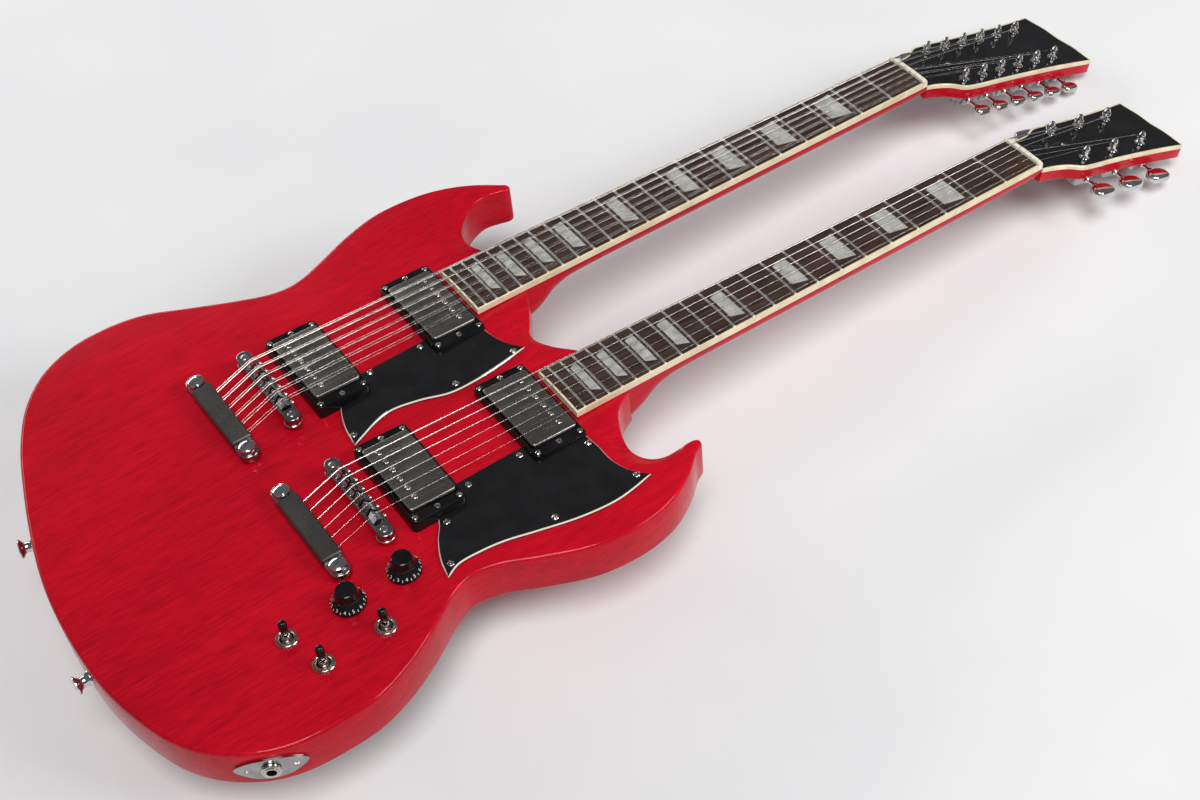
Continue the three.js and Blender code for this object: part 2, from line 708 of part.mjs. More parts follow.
// Winding on a post in the head's frame: tangent run, turns going down, short straight end
function postCoil(neck, string, from) {
  const post = postSpots(neck, string.sign)[string.post];
  const radius = (neck.postRadius + gap + string.diameter / 2) / Math.cos(Math.PI / coilSteps);
  const centre = new THREE.Vector2(post.x, post.y);
  const start = new THREE.Vector2(from.x, from.y);
  const reach = centre.clone().sub(start);
  const lean = Math.asin(radius / reach.length());
  const run = Math.sqrt(reach.lengthSq() - radius ** 2);
  const tangent = reach.clone().normalize().rotateAround(new THREE.Vector2(), -string.sign * lean);
  const touch = start.clone().addScaledVector(tangent, run).sub(centre);
  const first = Math.atan2(touch.y, touch.x);
  const pitch = string.diameter + coilGap;
  const steps = coilTurns * coilSteps;
  const points = Array.from({ length: steps + 1 }, (_, k) => {
    const turn = first + string.sign * 2 * Math.PI * k / coilSteps;
    const height = coilTop - pitch * k / coilSteps;
    return new THREE.Vector3(post.x + radius * Math.cos(turn), post.y + radius * Math.sin(turn), height);
  });
  const end = points[steps];
  const onward = new THREE.Vector3(post.y - end.y, end.x - post.x, 0).normalize();
  points.push(end.clone().addScaledVector(onward, string.sign * (string.diameter + gap)));
  return points;
}

// Smallest clear distance between turns that are not neighbours along the wire
function leastSelfGap(points, diameter) {
  let least = Infinity;
  const apart = coilSteps / 2;
  points.forEach((p, i) => points.slice(i + apart).forEach((q) => {
    least = Math.min(least, p.distanceTo(q) - diameter);
  }));
  return least;
}

let leastCoilGap = Infinity;

function makeStrings(neck) {
  const toPlane = planeFrame.clone().invert();
  const wires = stringList(neck).map((string) => {
    const outOfTail = new THREE.Vector3(-tailFromBridge + tailWide / 2 + gap, string.bridge, tailHoleHeight);
    const inTail = new THREE.Vector3(-tailFromBridge - ballRow / 2, string.bridge, tailHoleHeight);
    const radius = string.diameter / 2;
    const over = (x, y, lift) => new THREE.Vector3(x, y, lift + radius + crown(y));
    const saddle = over(-boardEnd, string.bridge, stringAtBridge);
    const nut = over(boardLength, string.nut, stringAtNut);
    const nutBack = nut.clone().setX(boardLength + nutLong);
    const inHead = nutBack.clone().applyMatrix4(headFrame(neck).invert());
    const coil = postCoil(neck, string, inHead).map((p) => p.applyMatrix4(headFrame(neck)));
    leastCoilGap = Math.min(leastCoilGap, leastSelfGap(coil, string.diameter));
    const tail = [inTail, outOfTail].map((p) => p.applyMatrix4(toPlane));
    return tube([...tail, saddle, nut, nutBack, ...coil], radius, stringSides).applyMatrix4(planeFrame);
  });
  const half = neck.bridgeSpread / 2 + ballRow;
  const row = block(
    -tailFromBridge - ballRow, -tailFromBridge, -half, half,
    tailHoleHeight - ballRow / 2, tailHoleHeight + ballRow / 2,
  );
  return union([row, ...wires]);
}

function makeNut(neck) {
  const half = neck.nutWide / 2;
  const points = [new THREE.Vector2(-half, -boardThick), new THREE.Vector2(half, -boardThick)];
  const top = (y) => nutTall + crown(y);
  points.push(new THREE.Vector2(half, top(half)));
  stringList(neck).forEach((string) => {
    const wide = string.diameter / 2 + gap;
    const deep = stringAtNut + crown(string.nut) - gap;
    points.push(new THREE.Vector2(string.nut + wide, top(string.nut)));
    points.push(new THREE.Vector2(string.nut + wide, deep));
    points.push(new THREE.Vector2(string.nut - wide, deep));
    points.push(new THREE.Vector2(string.nut - wide, top(string.nut)));
  });
  points.push(new THREE.Vector2(-half, top(half)));
  const profile = plate(points, boardLength + gap, boardLength + nutLong);
  const turn = new THREE.Matrix4().makeBasis(
    new THREE.Vector3(0, 1, 0), new THREE.Vector3(0, 0, 1), new THREE.Vector3(1, 0, 0),
  );
  return profile.applyMatrix4(turn);
}

// Tuners of one side of a head: strip, housings, sleeves with washers and posts
const wormDepth = headThick + gap + stripThick + housingTall / 2;

function makeTunerBank(neck, sign) {
  const spots = postSpots(neck, sign);
  const under = -headThick - gap;
  const parts = [];
  const tools = [];
  spots.forEach((p) => {
    parts.push(turned([
      [0, under - stripThick / 2], [sleeveRadius, under - stripThick / 2], [sleeveRadius, gap],
      [flangeRadius, gap], [neck.postRadius, gap + flangeThick], [neck.postRadius, neck.postTall],
      [0, neck.postTall],
    ], smallSides).translate(p.x, p.y, 0));
    const x0 = p.x - neck.housingLong / 2 + wormOffset / 2;
    const x1 = p.x + neck.housingLong / 2 + wormOffset / 2;
    const low = under - stripThick - housingTall;
    parts.push(block(x0, x1, p.y - housingWide / 2, p.y + housingWide / 2, low, under));
    const bore = disc(0, 0, -housingWide / 3, overrun, wormRadius + gap, smallSides);
    tools.push(bore.rotateX(-sign * Math.PI / 2).translate(p.x + wormOffset, p.y, -wormDepth));
  });
  const first = spots[0];
  const last = spots[spots.length - 1];
  const side = housingWide / 2;
  parts.push(block(first.x, last.x, first.y - side, first.y + side, under - stripThick, under));
  return cut(parts, tools);
}

// Key, along local +Z from the middle of its housing; its button is an oval with a waist
function makeKey(neck) {
  const reach = neck.keyOffset - neck.postOffset;
  const stem = turned([
    [0, -housingWide / 4], [wormRadius, -housingWide / 4], [wormRadius, housingWide / 2 + gap],
    [keyCollar, housingWide / 2 + gap], [wormRadius, reach], [0, reach],
  ], hexSides);
  const oval = Array.from({ length: wheelSides }, (_, k) => {
    const turn = 2 * Math.PI * k / wheelSides;
    const waist = 1 - keyWaistShare * Math.max(0, Math.sin(turn)) ** 4;
    return new THREE.Vector2(neck.keyLong / 2 * Math.cos(turn), neck.keyWide / 2 * Math.sin(turn) * waist);
  });
  const button = plate(oval, -neck.keyThick / 2, neck.keyThick / 2);
  button.rotateX(Math.PI / 2).translate(0, 0, reach);
  return union([stem, button]);
}

function keyPlace(neck, spot, sign) {
  const out = new THREE.Vector3(0, sign, 0);
  const along = new THREE.Vector3(1, 0, 0);
  const frame = new THREE.Matrix4().makeBasis(along, out.clone().cross(along), out);
  return frame.setPosition(spot.x + wormOffset, spot.y, -wormDepth);
}

const ringShape = (x, extra) => rounded(
  corners(x - ringLong / 2 - extra, x + ringLong / 2 + extra, -ringWide / 2 - extra, ringWide / 2 + extra),
  ringRadius + extra,
);

function makeRing(spot) {
  const flat = bodyThick + gap;
  const level = new THREE.Vector3(spot.x, 0, 0).applyMatrix4(planeFrame).z;
  const top = flat + spot.tall - level;
  const frame = plate(ringShape(spot.x, 0), -overrun, top).applyMatrix4(planeFrame);
  const long = pickupLong / 2 + pickupWindowGap;
  const half = pickupWide / 2 + pickupWindowGap;
  const window = rounded(corners(spot.x - long, spot.x + long, -half, half), ringRadius / 2);
  const hole = plate(window, -2 * overrun, overrun).applyMatrix4(planeFrame);
  const floor = block(-overrun, boardEnd + overrun, -ringWide, ringWide, -2 * overrun, flat);
  return cut([frame], [hole, floor]);
}

function makePickup(neck, spot) {
  const x = spot.x;
  const limits = corners(x - pickupLong / 2, x + pickupLong / 2, -pickupWide / 2, pickupWide / 2);
  const shape = rounded(limits, ringRadius / 2);
  const top = -pickupDrop;
  const parts = [plate(shape, top - pickupTall, top)];
  const last = neck.gauges.length - 1;
  neck.gauges.forEach((_, course) => {
    const y = (0.5 - course / last) * neck.bridgeSpread;
    parts.push(disc(x + spot.poles * poleOffset, y, top - gap, top + poleProud, poleRadius, hexSides));
  });
  return union(parts);
}

// Heights at the bridge, where the strings' plane is highest
const stringOverBridge = new THREE.Vector3(-boardEnd, 0, stringAtBridge).applyMatrix4(planeFrame).z;
const heaviest = Math.max(...twelve.gauges.flat(), ...six.gauges.flat());

function slot(x, halfLong, halfWide, z0, z1, round) {
  const points = rounded(corners(x - halfWide, x + halfWide, -halfLong, halfLong), halfWide - gap, 3);
  return softPlate(points, z0, z1, round);
}

function makeBridge(neck) {
  const top = stringOverBridge - bridgeTopBelowString;
  const wheelLow = bodyThick + thumbwheelLift;
  const parts = [slot(0, bridgeLong / 2, bridgeWide / 2, top - bridgeThick, top, bridgeRound)];
  [-1, 1].forEach((sign) => {
    const y = sign * bridgePostSpan / 2;
    parts.push(disc(0, y, postDepth, top + gap, bridgePostRadius, smallSides));
    parts.push(disc(0, y, wheelLow, wheelLow + thumbwheelThick, thumbwheelRadius, wheelSides));
  });
  const last = neck.gauges.length - 1;
  neck.gauges.forEach((_, course) => {
    const y = (0.5 - course / last) * neck.bridgeSpread;
    const peak = stringOverBridge + crown(Math.abs(y) + neck.pairBridge / 2) - gap;
    const foot = top - saddleSink;
    const wedge = [
      new THREE.Vector2(-saddleLong / 2, foot), new THREE.Vector2(saddleLong / 2, foot),
      new THREE.Vector2(gap, peak), new THREE.Vector2(-gap, peak),
    ];
    parts.push(plate(wedge, -saddleWide / 2, saddleWide / 2).rotateX(Math.PI / 2).translate(0, y, 0));
  });
  return union(parts);
}

function makeTailpiece(neck) {
  const low = bodyThick + tailLift;
  const high = low + tailThick;
  const parts = [slot(-tailFromBridge, tailLong / 2, tailWide / 2, low, high, tailRound)];
  [-1, 1].forEach((sign) => {
    const y = sign * studSpan / 2;
    parts.push(disc(-tailFromBridge, y, postDepth, high, studPostRadius, smallSides));
    const stud = (z0, z1, topRadius) => disc(-tailFromBridge, y, z0, z1, studRadius, wheelSides, topRadius);
    parts.push(stud(high - studEdge, high + studProud, studRadius - studEdge));
    parts.push(stud(bodyThick + gap, low + studEdge, studRadius));
  });
  const half = neck.bridgeSpread / 2 + ballRow + 2 * gap;
  const groove = (x0, x1, tall) => block(x0, x1, -half, half, tailHoleHeight - tall, tailHoleHeight + tall);
  const behind = groove(-tailFromBridge - overrun, -tailFromBridge + gap, ballGroove / 2);
  const ahead = groove(-tailFromBridge, -tailFromBridge + overrun, heaviest / 2 + 2 * gap);
  return cut(parts, [behind, ahead]);
}

// Pickguards: shares of the way from the bridges to the board's end along, and across of half the
// neck spread on the bass side and of the way from the neck to the rim on the treble side
const guardShares = {
  12: {
    lower: [[0.15, -1.22], [0.2, -1.17], [0.29, -1.08], [0.38, -1.04], [0.51, -1.11], [0.64, -1.23],
      [0.79, -1.25], [0.93, -1.22], [1.05, -1.17]],
    right: [[1.05, -1.17], [1, -0.96], [0.975, -0.74], [0.97, -0.6]],
    left: [[0.25, -0.5], [0.2, -0.7], [0.165, -0.95], [0.15, -1.22]],
  },
  6: {
    lower: [[0.1, -0.629], [0.17, -0.592], [0.27, -0.592], [0.38, -0.61], [0.52, -0.657], [0.7, -0.713],
      [0.86, -0.736], [0.96, -0.727], [1.065, -0.703]],
    right: [[1.065, -0.703], [1.005, -0.606], [0.98, -0.503], [0.98, -0.405], [0.97, -0.279]],
    left: [[0.25, -0.233], [0.21, -0.335], [0.165, -0.41], [0.12, -0.522], [0.1, -0.629]],
  },
};
const guardTopShares = [0.25, 0.9];
const guardStartShare = 0.1;

function makeGuard(neck) {
  const first = neck === six ? knobs[1].x + knobRadius + guardFromKnob : guardStartShare * boardEnd;
  const wide = neck === six ? trebleHalf - neckSpread / 2 : neckSpread / 2;
  const at = ([along, across]) => new THREE.Vector2(
    THREE.MathUtils.mapLinear(along, guardStartShare, 1, first, boardEnd), across * wide,
  );
  const shares = guardShares[neck.tag];
  const run = (list) => smooth(list.map(at), 3);
  const points = [
    ...run(shares.lower), ...run(shares.right).slice(1),
    new THREE.Vector2(at([guardTopShares[1], 0]).x, -guardTopEdge),
    new THREE.Vector2(at([guardTopShares[0], 0]).x, -guardTopEdge),
    ...run(shares.left).slice(0, -1),
  ];
  const low = bodyThick + gap;
  const tools = pickupSpots.map(({ x }) => plate(ringShape(x, gap), -overrun, overrun));
  return cut([plate(points, low, low + guardThick)], tools.map((tool) => tool.applyMatrix4(planeFrame)));
}

function makeKnob() {
  const base = bodyThick + knobLift;
  const skirt = base + knobSkirtTall;
  const top = base + knobTall;
  const foot = cavityTop - shaftDepth;
  return turned([
    [0, foot], [shaftRadius, foot], [shaftRadius, skirt], [knobHollow, skirt], [knobHollow, base],
    [knobRadius, base], [knobSkirtRadius, skirt], [knobWaistRadius, base + knobShoulder],
    [knobTopRadius, top - knobEdge], [knobTopRadius - knobEdge, top], [0, top],
  ]);
}

function makePot() {
  const low = cavityTop - gap - potTall;
  const nut = bodyThick + gap;
  const parts = [
    disc(0, 0, low, cavityTop - gap, potRadius),
    disc(0, 0, low, nut + washerThick, bushingRadius, smallSides),
    disc(0, 0, nut, nut + washerThick, washerRadius, hexSides),
  ];
  const floor = cavityTop - shaftDepth - shaftPlay;
  return cut(parts, [disc(0, 0, floor, bodyThick + overrun, shaftRadius + gap, smallSides)]);
}

const leverPivot = bodyThick + gap + leverBall;

function makeSwitch() {
  const half = switchBody / 2;
  const side = switchBodyWide / 2;
  const nut = bodyThick + gap;
  const under = cavityTop - gap;
  const parts = [
    block(-half, half, -side, side, under - switchBody, under),
    disc(0, 0, under - half, nut + switchNutTall, bushingRadius, smallSides),
    disc(0, 0, nut, nut + switchNutTall, switchNutRadius, wheelSides, switchNutTopRadius),
  ];
  return cut(parts, [disc(0, 0, leverPivot - leverBall - gap, nut + overrun, leverBall + 2 * gap)]);
}

function makeLever() {
  return turned([
    ...ballShares.map(([out, up]) => [out * leverBall, up * leverBall]),
    [leverRadius, leverNeckShare * leverBall], [leverRadius, leverStickShare * leverTall],
    ...leverTipShares.map(([out, up]) => [out * leverTipRadius, up * leverTall]),
  ], smallSides);
}

// Plate bent to the side: a band along the rim cut to the boat shape
function makeJackPlate() {
  const rim = jackRim;
  const near = [...outline.keys()].filter((i) => outline[i].distanceTo(rim.point) < jackPlateLong);
  const band = (distance) => near.map((i) => outline[i].clone().addScaledVector(outwardAt(i), distance));
  const strip = plate([...band(gap), ...band(gap + jackPlateThick).reverse()], 0, bodyThick);
  const boatShares = [[-1, 0], [-0.93, -0.26], [-0.5, -0.85], [0, -1], [0.5, -0.85], [0.93, -0.26], [1, 0]];
  const at = ([along, up]) => new THREE.Vector2(along * jackPlateLong / 2, up * jackPlateTall / 2);
  const lower = smooth(boatShares.map(at), 2);
  const upper = lower.slice(1, -1).reverse().map((p) => new THREE.Vector2(p.x, -p.y));
  const frame = rimFrame(rim, jackCentre);
  const boat = plate([...lower, ...upper], -overrun, overrun).applyMatrix4(frame);
  const hole = disc(0, 0, -overrun, overrun, jackBarrel + gap, wheelSides).applyMatrix4(frame);
  return cut([common(strip, boat)], [hole]);
}

// Socket in the rim's frame: nut outside the plate, barrel through it, wide sleeve in the drilled hole
function makeJackSocket() {
  const face = jackPlateThick + 2 * gap;
  const inner = -jackSleeveSet - jackSleeveLong;
  const parts = [
    disc(0, 0, face, face + jackNutThick, jackNut, wheelSides),
    disc(0, 0, inner / 2, face + jackNutThick + jackLip, jackBarrel, wheelSides),
    disc(0, 0, inner, -jackSleeveSet, jackSleeve, wheelSides),
  ];
  return cut(parts, [disc(0, 0, inner + jackFloor, overrun, jackBore)]);
}

function makeStrapButton() {
  return turned([
    [0, -strapScrewLong], [strapScrew, -strapScrewLong], [strapScrew, gap], [strapFootRadius, gap],
    [strapNeckRadius, gap + strapFlare], [strapNeckRadius, strapTall - strapHead],
    [strapRadius, strapTall - strapEdge], [strapRadius - strapEdgeIn, strapTall], [0, strapTall],
  ], wheelSides);
}

function makeCover() {
  const edge = rounded(widened(cavityCorners, cavityLip - gap), cavityRound - gap);
  return plate(edge, gap, gap + coverThick);
}

// Assembly
const guitar = new THREE.Group();
guitar.name = 'double_neck_guitar';

function place(group, name, geometry, material, matrix) {
  const mesh = new THREE.Mesh(geometry, material);
  mesh.name = name;
  if (matrix) mesh.applyMatrix4(matrix);
  group.add(mesh);
}

place(guitar, 'body', makeBody(), cherry);
place(guitar, 'control_cover', makeCover(), blackPlastic);

[twelve, six].forEach((neck) => {
  const onBody = new THREE.Group();
  onBody.applyMatrix4(neckFrame(neck));
  guitar.add(onBody);
  const onPlane = new THREE.Group();
  onPlane.applyMatrix4(planeFrame);
  onBody.add(onPlane);
  const onHead = new THREE.Group();
  onHead.applyMatrix4(headFrame(neck));
  onPlane.add(onHead);
  const { tag } = neck;
  place(onBody, `neck_${tag}`, makeNeck(neck), cherry);
  place(onPlane, `fingerboard_${tag}`, makeFingerboard(neck), rosewood);
  place(onPlane, `nut_${tag}`, makeNut(neck), ivory);
  place(onBody, `strings_${tag}`, makeStrings(neck), steel);
  place(onBody, `bridge_${tag}`, makeBridge(neck), chrome);
  place(onBody, `tailpiece_${tag}`, makeTailpiece(neck), chrome);
  place(onBody, `pickguard_${tag}`, makeGuard(neck), blackPlastic);
  pickupSpots.forEach((spot) => {
    place(onBody, `pickup_ring_${spot.name}_${tag}`, makeRing(spot), blackPlastic);
    place(onPlane, `pickup_${spot.name}_${tag}`, makePickup(neck, spot), nickel);
  });
  [['bass', 1], ['treble', -1]].forEach(([label, sign]) => {
    place(onHead, `tuners_${tag}_${label}`, makeTunerBank(neck, sign), chrome);
    postSpots(neck, sign).forEach((spot, i) => {
      place(onHead, `key_${tag}_${label}_${i + 1}`, makeKey(neck), chrome, keyPlace(neck, spot, sign));
    });
  });
});

knobs.forEach((p, i) => {
  const here = new THREE.Matrix4().setPosition(p.x, p.y, 0);
  place(guitar, `knob_${i + 1}`, makeKnob(), blackPlastic, here);
  place(guitar, `pot_${i + 1}`, makePot(), greyMetal, here);
});
toggles.forEach((p, i) => {
  const at = (z) => new THREE.Matrix4().setPosition(p.x, p.y, z);
  place(guitar, `switch_${i + 1}`, makeSwitch(), nickel, at(0));
  place(guitar, `lever_${i + 1}`, makeLever(), blackPlastic, at(leverPivot));
});
place(guitar, 'jack_plate', makeJackPlate(), chrome);
place(guitar, 'jack_socket', makeJackSocket(), nickel, rimFrame(jackRim, jackCentre));
strapRims.forEach((rim, i) => {
  const name = ['strap_button_upper', 'strap_button_lower'][i];
  place(guitar, name, makeStrapButton(), chrome, rimFrame(rim, bodyThick / 2));
});
console.log(`least gap of a post winding to itself: ${leastCoilGap.toFixed(2)} mm`);

export default guitar;
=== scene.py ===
# %% [markdown]
# # Dressing a double-neck guitar
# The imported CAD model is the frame: every piece made here is placed by the same
# sizes, and rides on one of its bodies. Sizes below are in millimetres, as a
# guitar maker writes them, and each mesh is turned into metres when it is made.

# %% Load the frame
import json
import math
import bmesh
import bpy
from mathutils import Matrix, Vector

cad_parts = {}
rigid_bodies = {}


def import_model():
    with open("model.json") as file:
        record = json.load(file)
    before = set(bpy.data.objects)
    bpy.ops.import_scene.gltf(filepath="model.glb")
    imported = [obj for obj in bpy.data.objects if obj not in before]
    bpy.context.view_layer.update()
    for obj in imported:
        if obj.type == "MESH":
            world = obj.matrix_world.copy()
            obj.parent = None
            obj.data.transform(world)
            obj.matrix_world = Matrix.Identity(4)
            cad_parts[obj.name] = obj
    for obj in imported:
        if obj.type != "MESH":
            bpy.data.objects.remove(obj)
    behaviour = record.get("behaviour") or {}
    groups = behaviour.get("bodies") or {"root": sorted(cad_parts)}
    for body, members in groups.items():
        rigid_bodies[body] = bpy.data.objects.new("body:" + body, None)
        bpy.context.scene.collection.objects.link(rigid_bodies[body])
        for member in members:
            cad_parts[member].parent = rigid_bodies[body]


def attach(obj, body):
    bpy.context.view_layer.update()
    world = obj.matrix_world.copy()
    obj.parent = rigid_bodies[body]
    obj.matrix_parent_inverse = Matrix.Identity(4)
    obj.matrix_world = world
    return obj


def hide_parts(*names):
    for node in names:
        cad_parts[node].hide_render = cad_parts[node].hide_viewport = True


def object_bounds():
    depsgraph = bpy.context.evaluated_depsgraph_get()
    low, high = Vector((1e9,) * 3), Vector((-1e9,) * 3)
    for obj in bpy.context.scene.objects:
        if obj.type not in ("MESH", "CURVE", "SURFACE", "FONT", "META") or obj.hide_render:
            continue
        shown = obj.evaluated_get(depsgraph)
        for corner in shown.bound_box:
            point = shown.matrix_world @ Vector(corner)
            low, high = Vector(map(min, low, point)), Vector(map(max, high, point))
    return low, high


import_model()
cad_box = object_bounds()
MM = 0.001

# %% [markdown]
# ## The camera
# The photograph was taken from above the control side. The frets give the place
# and the lens: their spacing is known, so the camera that puts each fret on its
# picture is the camera of the photograph.

# %% Camera of the photograph
def new_object(name, data):
    made = bpy.data.objects.new(name, data)
    bpy.context.scene.collection.objects.link(made)
    return made

def photo_camera(place, right, down, ahead, lens):
    camera = new_object("camera", bpy.data.cameras.new("camera"))
    camera.data.sensor_width = 36
    camera.data.lens = lens
    facing = Matrix((right, -Vector(down), -Vector(ahead))).transposed()
    camera.matrix_world = Matrix.Translation(Vector(place) * MM) @ facing.to_4x4()
    bpy.context.scene.camera = camera
    return camera

camera = photo_camera(
    (-273.8, -892.1, 1048.2), (0.81772, -0.57051, -0.07651),
    (-0.46533, -0.57692, -0.67129), (0.33884, 0.58453, -0.73724), 56.05)
print("camera at", [round(x, 3) for x in camera.location])

# %% [markdown]
# ## Floor and light
# A pale floor lies under the lowest point of the heads. A plain grey world gives
# soft light from all round, a broad soft sun lights the top and the whole floor
# evenly, and two wide lamps give the lacquer its edge lines.

# %% Floor, world and lamps
FLOOR_HALF, FLOOR_DROP = 30, 0.004  # metres

def flat_floor(height, half):
    mesh = bpy.data.meshes.new("floor")
    corners = [(-half, -half, height), (half, -half, height), (half, half, height), (-half, half, height)]
    mesh.from_pydata(corners, [], [(0, 1, 2, 3)])
    floor = new_object("floor", mesh)
    return floor

def wide_lamp(name, place, aim, size, power):
    lamp = new_object(name, bpy.data.lights.new(name, "AREA"))
    lamp.data.shape = "RECTANGLE"
    lamp.data.size, lamp.data.size_y = size
    lamp.data.energy = power
    lamp.location = place
    lamp.rotation_euler = (Vector(aim) - Vector(place)).to_track_quat("-Z", "Y").to_euler()
    return lamp

floor = flat_floor(cad_box[0].z - FLOOR_DROP, FLOOR_HALF)
world = bpy.data.worlds.new("studio")
bpy.context.scene.world = world
bpy.context.scene.view_settings.view_transform = "Standard"
world.use_nodes = True
sky = world.node_tree.nodes["Background"]
sky.inputs["Color"].default_value = (0.6, 0.61, 0.64, 1)
sky.inputs["Strength"].default_value = 0.22
above = new_object("above", bpy.data.lights.new("above", "SUN"))
above.data.energy, above.data.angle = 2.1, math.radians(28)
above.rotation_euler = Vector((-0.18, -0.38, 0.9)).to_track_quat("Z", "Y").to_euler()
wide_lamp("key", (1.6, -1.8, 1.5), (0.1, -0.1, 0), (1.4, 0.8), 38)
wide_lamp("rim", (-0.3, 2.4, 1.0), (0.1, 0, 0), (2.4, 0.4), 22)
print("stage ready, floor at", round(cad_box[0].z - FLOOR_DROP, 4), "m")

# %% [markdown]
# ## Shared surface effects
# Two effects are used by many finishes, so each is one node group: wood grain
# with its fine pores, and the faint smudges that hands leave on polish. The first
# puts out two masks, the second a roughness between two limits.

# %% Node tools
def node_group(name, tree, inputs, outputs):
    """A group with its two end nodes. A socket is its label, its kind and perhaps a value."""
    group = bpy.data.node_groups.new(name, tree + "NodeTree")
    for way, sockets in (("INPUT", inputs), ("OUTPUT", outputs)):
        for label, kind, *value in sockets:
            socket = group.interface.new_socket(label, in_out=way, socket_type="NodeSocket" + kind)
            if value:
                socket.default_value = value[0]
    return group, group.nodes.new("NodeGroupInput"), group.nodes.new("NodeGroupOutput")

def add(group, kind, values=None, **settings):
    made = group.nodes.new(kind)
    for key, value in settings.items():
        setattr(made, key, value)
    for key, value in (values or {}).items():
        made.inputs[key].default_value = value
    return made

def wired(group, *links):
    """Joins each output to its input, given as node, output, node and input."""
    for source, out, target, into in links:
        group.links.new(source.outputs[out], target.inputs[into])

print("node tools ready")

# %% Effect groups
def grain_effect():
    group, start, end = node_group(
        "wood_grain", "Shader",
        [("Place", "Vector"), ("Across", "Float", 60), ("Along", "Float", 6), ("Figure", "Float", 0.5)],
        [("Grain", "Float"), ("Pores", "Float")])
    stretch = add(group, "ShaderNodeCombineXYZ")
    spread = add(group, "ShaderNodeVectorMath", operation="MULTIPLY")
    lines = add(group, "ShaderNodeTexNoise", {"Scale": 1, "Detail": 6, "Roughness": 0.62, "Distortion": 0.7})
    cloud = add(group, "ShaderNodeTexNoise", {"Scale": 7, "Detail": 3, "Roughness": 0.55})
    mix = add(group, "ShaderNodeMix", data_type="FLOAT")
    fine = add(group, "ShaderNodeVectorMath", operation="SCALE")
    fine.inputs["Scale"].default_value = 5
    pores = add(group, "ShaderNodeTexNoise", {"Scale": 1, "Detail": 2, "Roughness": 0.5})
    wired(
        group, (start, "Along", stretch, "X"), (start, "Across", stretch, "Y"),
        (start, "Across", stretch, "Z"), (start, "Place", spread, 0), (stretch, "Vector", spread, 1),
        (spread, "Vector", lines, "Vector"), (start, "Place", cloud, "Vector"),
        (start, "Figure", mix, 0), (lines, "Fac", mix, 2), (cloud, "Fac", mix, 3),
        (mix, 0, end, "Grain"), (spread, "Vector", fine, 0), (fine, "Vector", pores, "Vector"),
        (pores, "Fac", end, "Pores"))
    return group

def smudge_effect():
    group, start, end = node_group(
        "hand_smudges", "Shader",
        [("Place", "Vector"), ("Size", "Float", 40), ("Low", "Float", 0.1), ("High", "Float", 0.2)],
        [("Polish", "Float")])
    noise = add(group, "ShaderNodeTexNoise", {"Detail": 5, "Roughness": 0.6})
    spread = add(group, "ShaderNodeMapRange", {"From Min": 0.3, "From Max": 0.7})
    wired(
        group, (start, "Place", noise, "Vector"), (start, "Size", noise, "Scale"),
        (noise, "Fac", spread, "Value"), (start, "Low", spread, "To Min"),
        (start, "High", spread, "To Max"), (spread, "Result", end, "Polish"))
    return group

GRAIN, SMUDGE = grain_effect(), smudge_effect()
print("effects:", GRAIN.name, SMUDGE.name)

# %% [markdown]
# ## Finishes
# Each finish mixes two shades of its colour by a mask, and lets the smudges vary
# its roughness. Numbers that are the same all over sit on the shader itself.

# %% A finish from two shades
def finish(
    name, dark, pale, polish, metallic=0, coat=0, specular=0.5, size=40, grain=None, pores=0.0,
    spread=(0.35, 0.65)
):
    material = bpy.data.materials.new(name)
    material.use_nodes = True
    tree = material.node_tree
    shader = tree.nodes["Principled BSDF"]
    shader.inputs["Metallic"].default_value = metallic
    shader.inputs["Coat Weight"].default_value = coat
    shader.inputs["Coat Roughness"].default_value = 0.04
    shader.inputs["Specular IOR Level"].default_value = specular
    place = tree.nodes.new("ShaderNodeTexCoord")
    smudge = add(tree, "ShaderNodeGroup", node_tree=SMUDGE)
    for key, value in zip(("Size", "Low", "High"), (size, *polish)):
        smudge.inputs[key].default_value = value
    wired(tree, (place, "Object", smudge, "Place"), (smudge, "Polish", shader, "Roughness"))
    if grain:
        mask = add(tree, "ShaderNodeGroup", node_tree=GRAIN)
        for key, value in zip(("Across", "Along", "Figure"), grain):
            mask.inputs[key].default_value = value
        blend = add(tree, "ShaderNodeMix", {0: pores}, data_type="FLOAT")
        wired(tree, (place, "Object", mask, "Place"), (mask, "Grain", blend, 2), (mask, "Pores", blend, 3))
        source = (blend, 0)
    else:
        mask = add(tree, "ShaderNodeTexNoise", {"Scale": size * 2, "Detail": 4})
        wired(tree, (place, "Object", mask, "Vector"))
        source = (mask, "Fac")
    ramp = tree.nodes.new("ShaderNodeValToRGB")
    ramp.color_ramp.elements[0].position, ramp.color_ramp.elements[1].position = spread
    ramp.color_ramp.elements[0].color = (*dark, 1)
    ramp.color_ramp.elements[1].color = (*pale, 1)
    wired(tree, (*source, ramp, "Fac"), (ramp, "Color", shader, "Base Color"))
    return material

def roughened(material, strength, distance):
    """Adds a small relief that follows the pores already in the material."""
    tree = material.node_tree
    bump = add(tree, "ShaderNodeBump", {"Strength": strength, "Distance": distance})
    source = next(node for node in tree.nodes if "Pores" in node.outputs)
    wired(tree, (source, "Pores", bump, "Height"), (bump, "Normal", tree.nodes["Principled BSDF"], "Normal"))
    return material

print("finish maker ready")

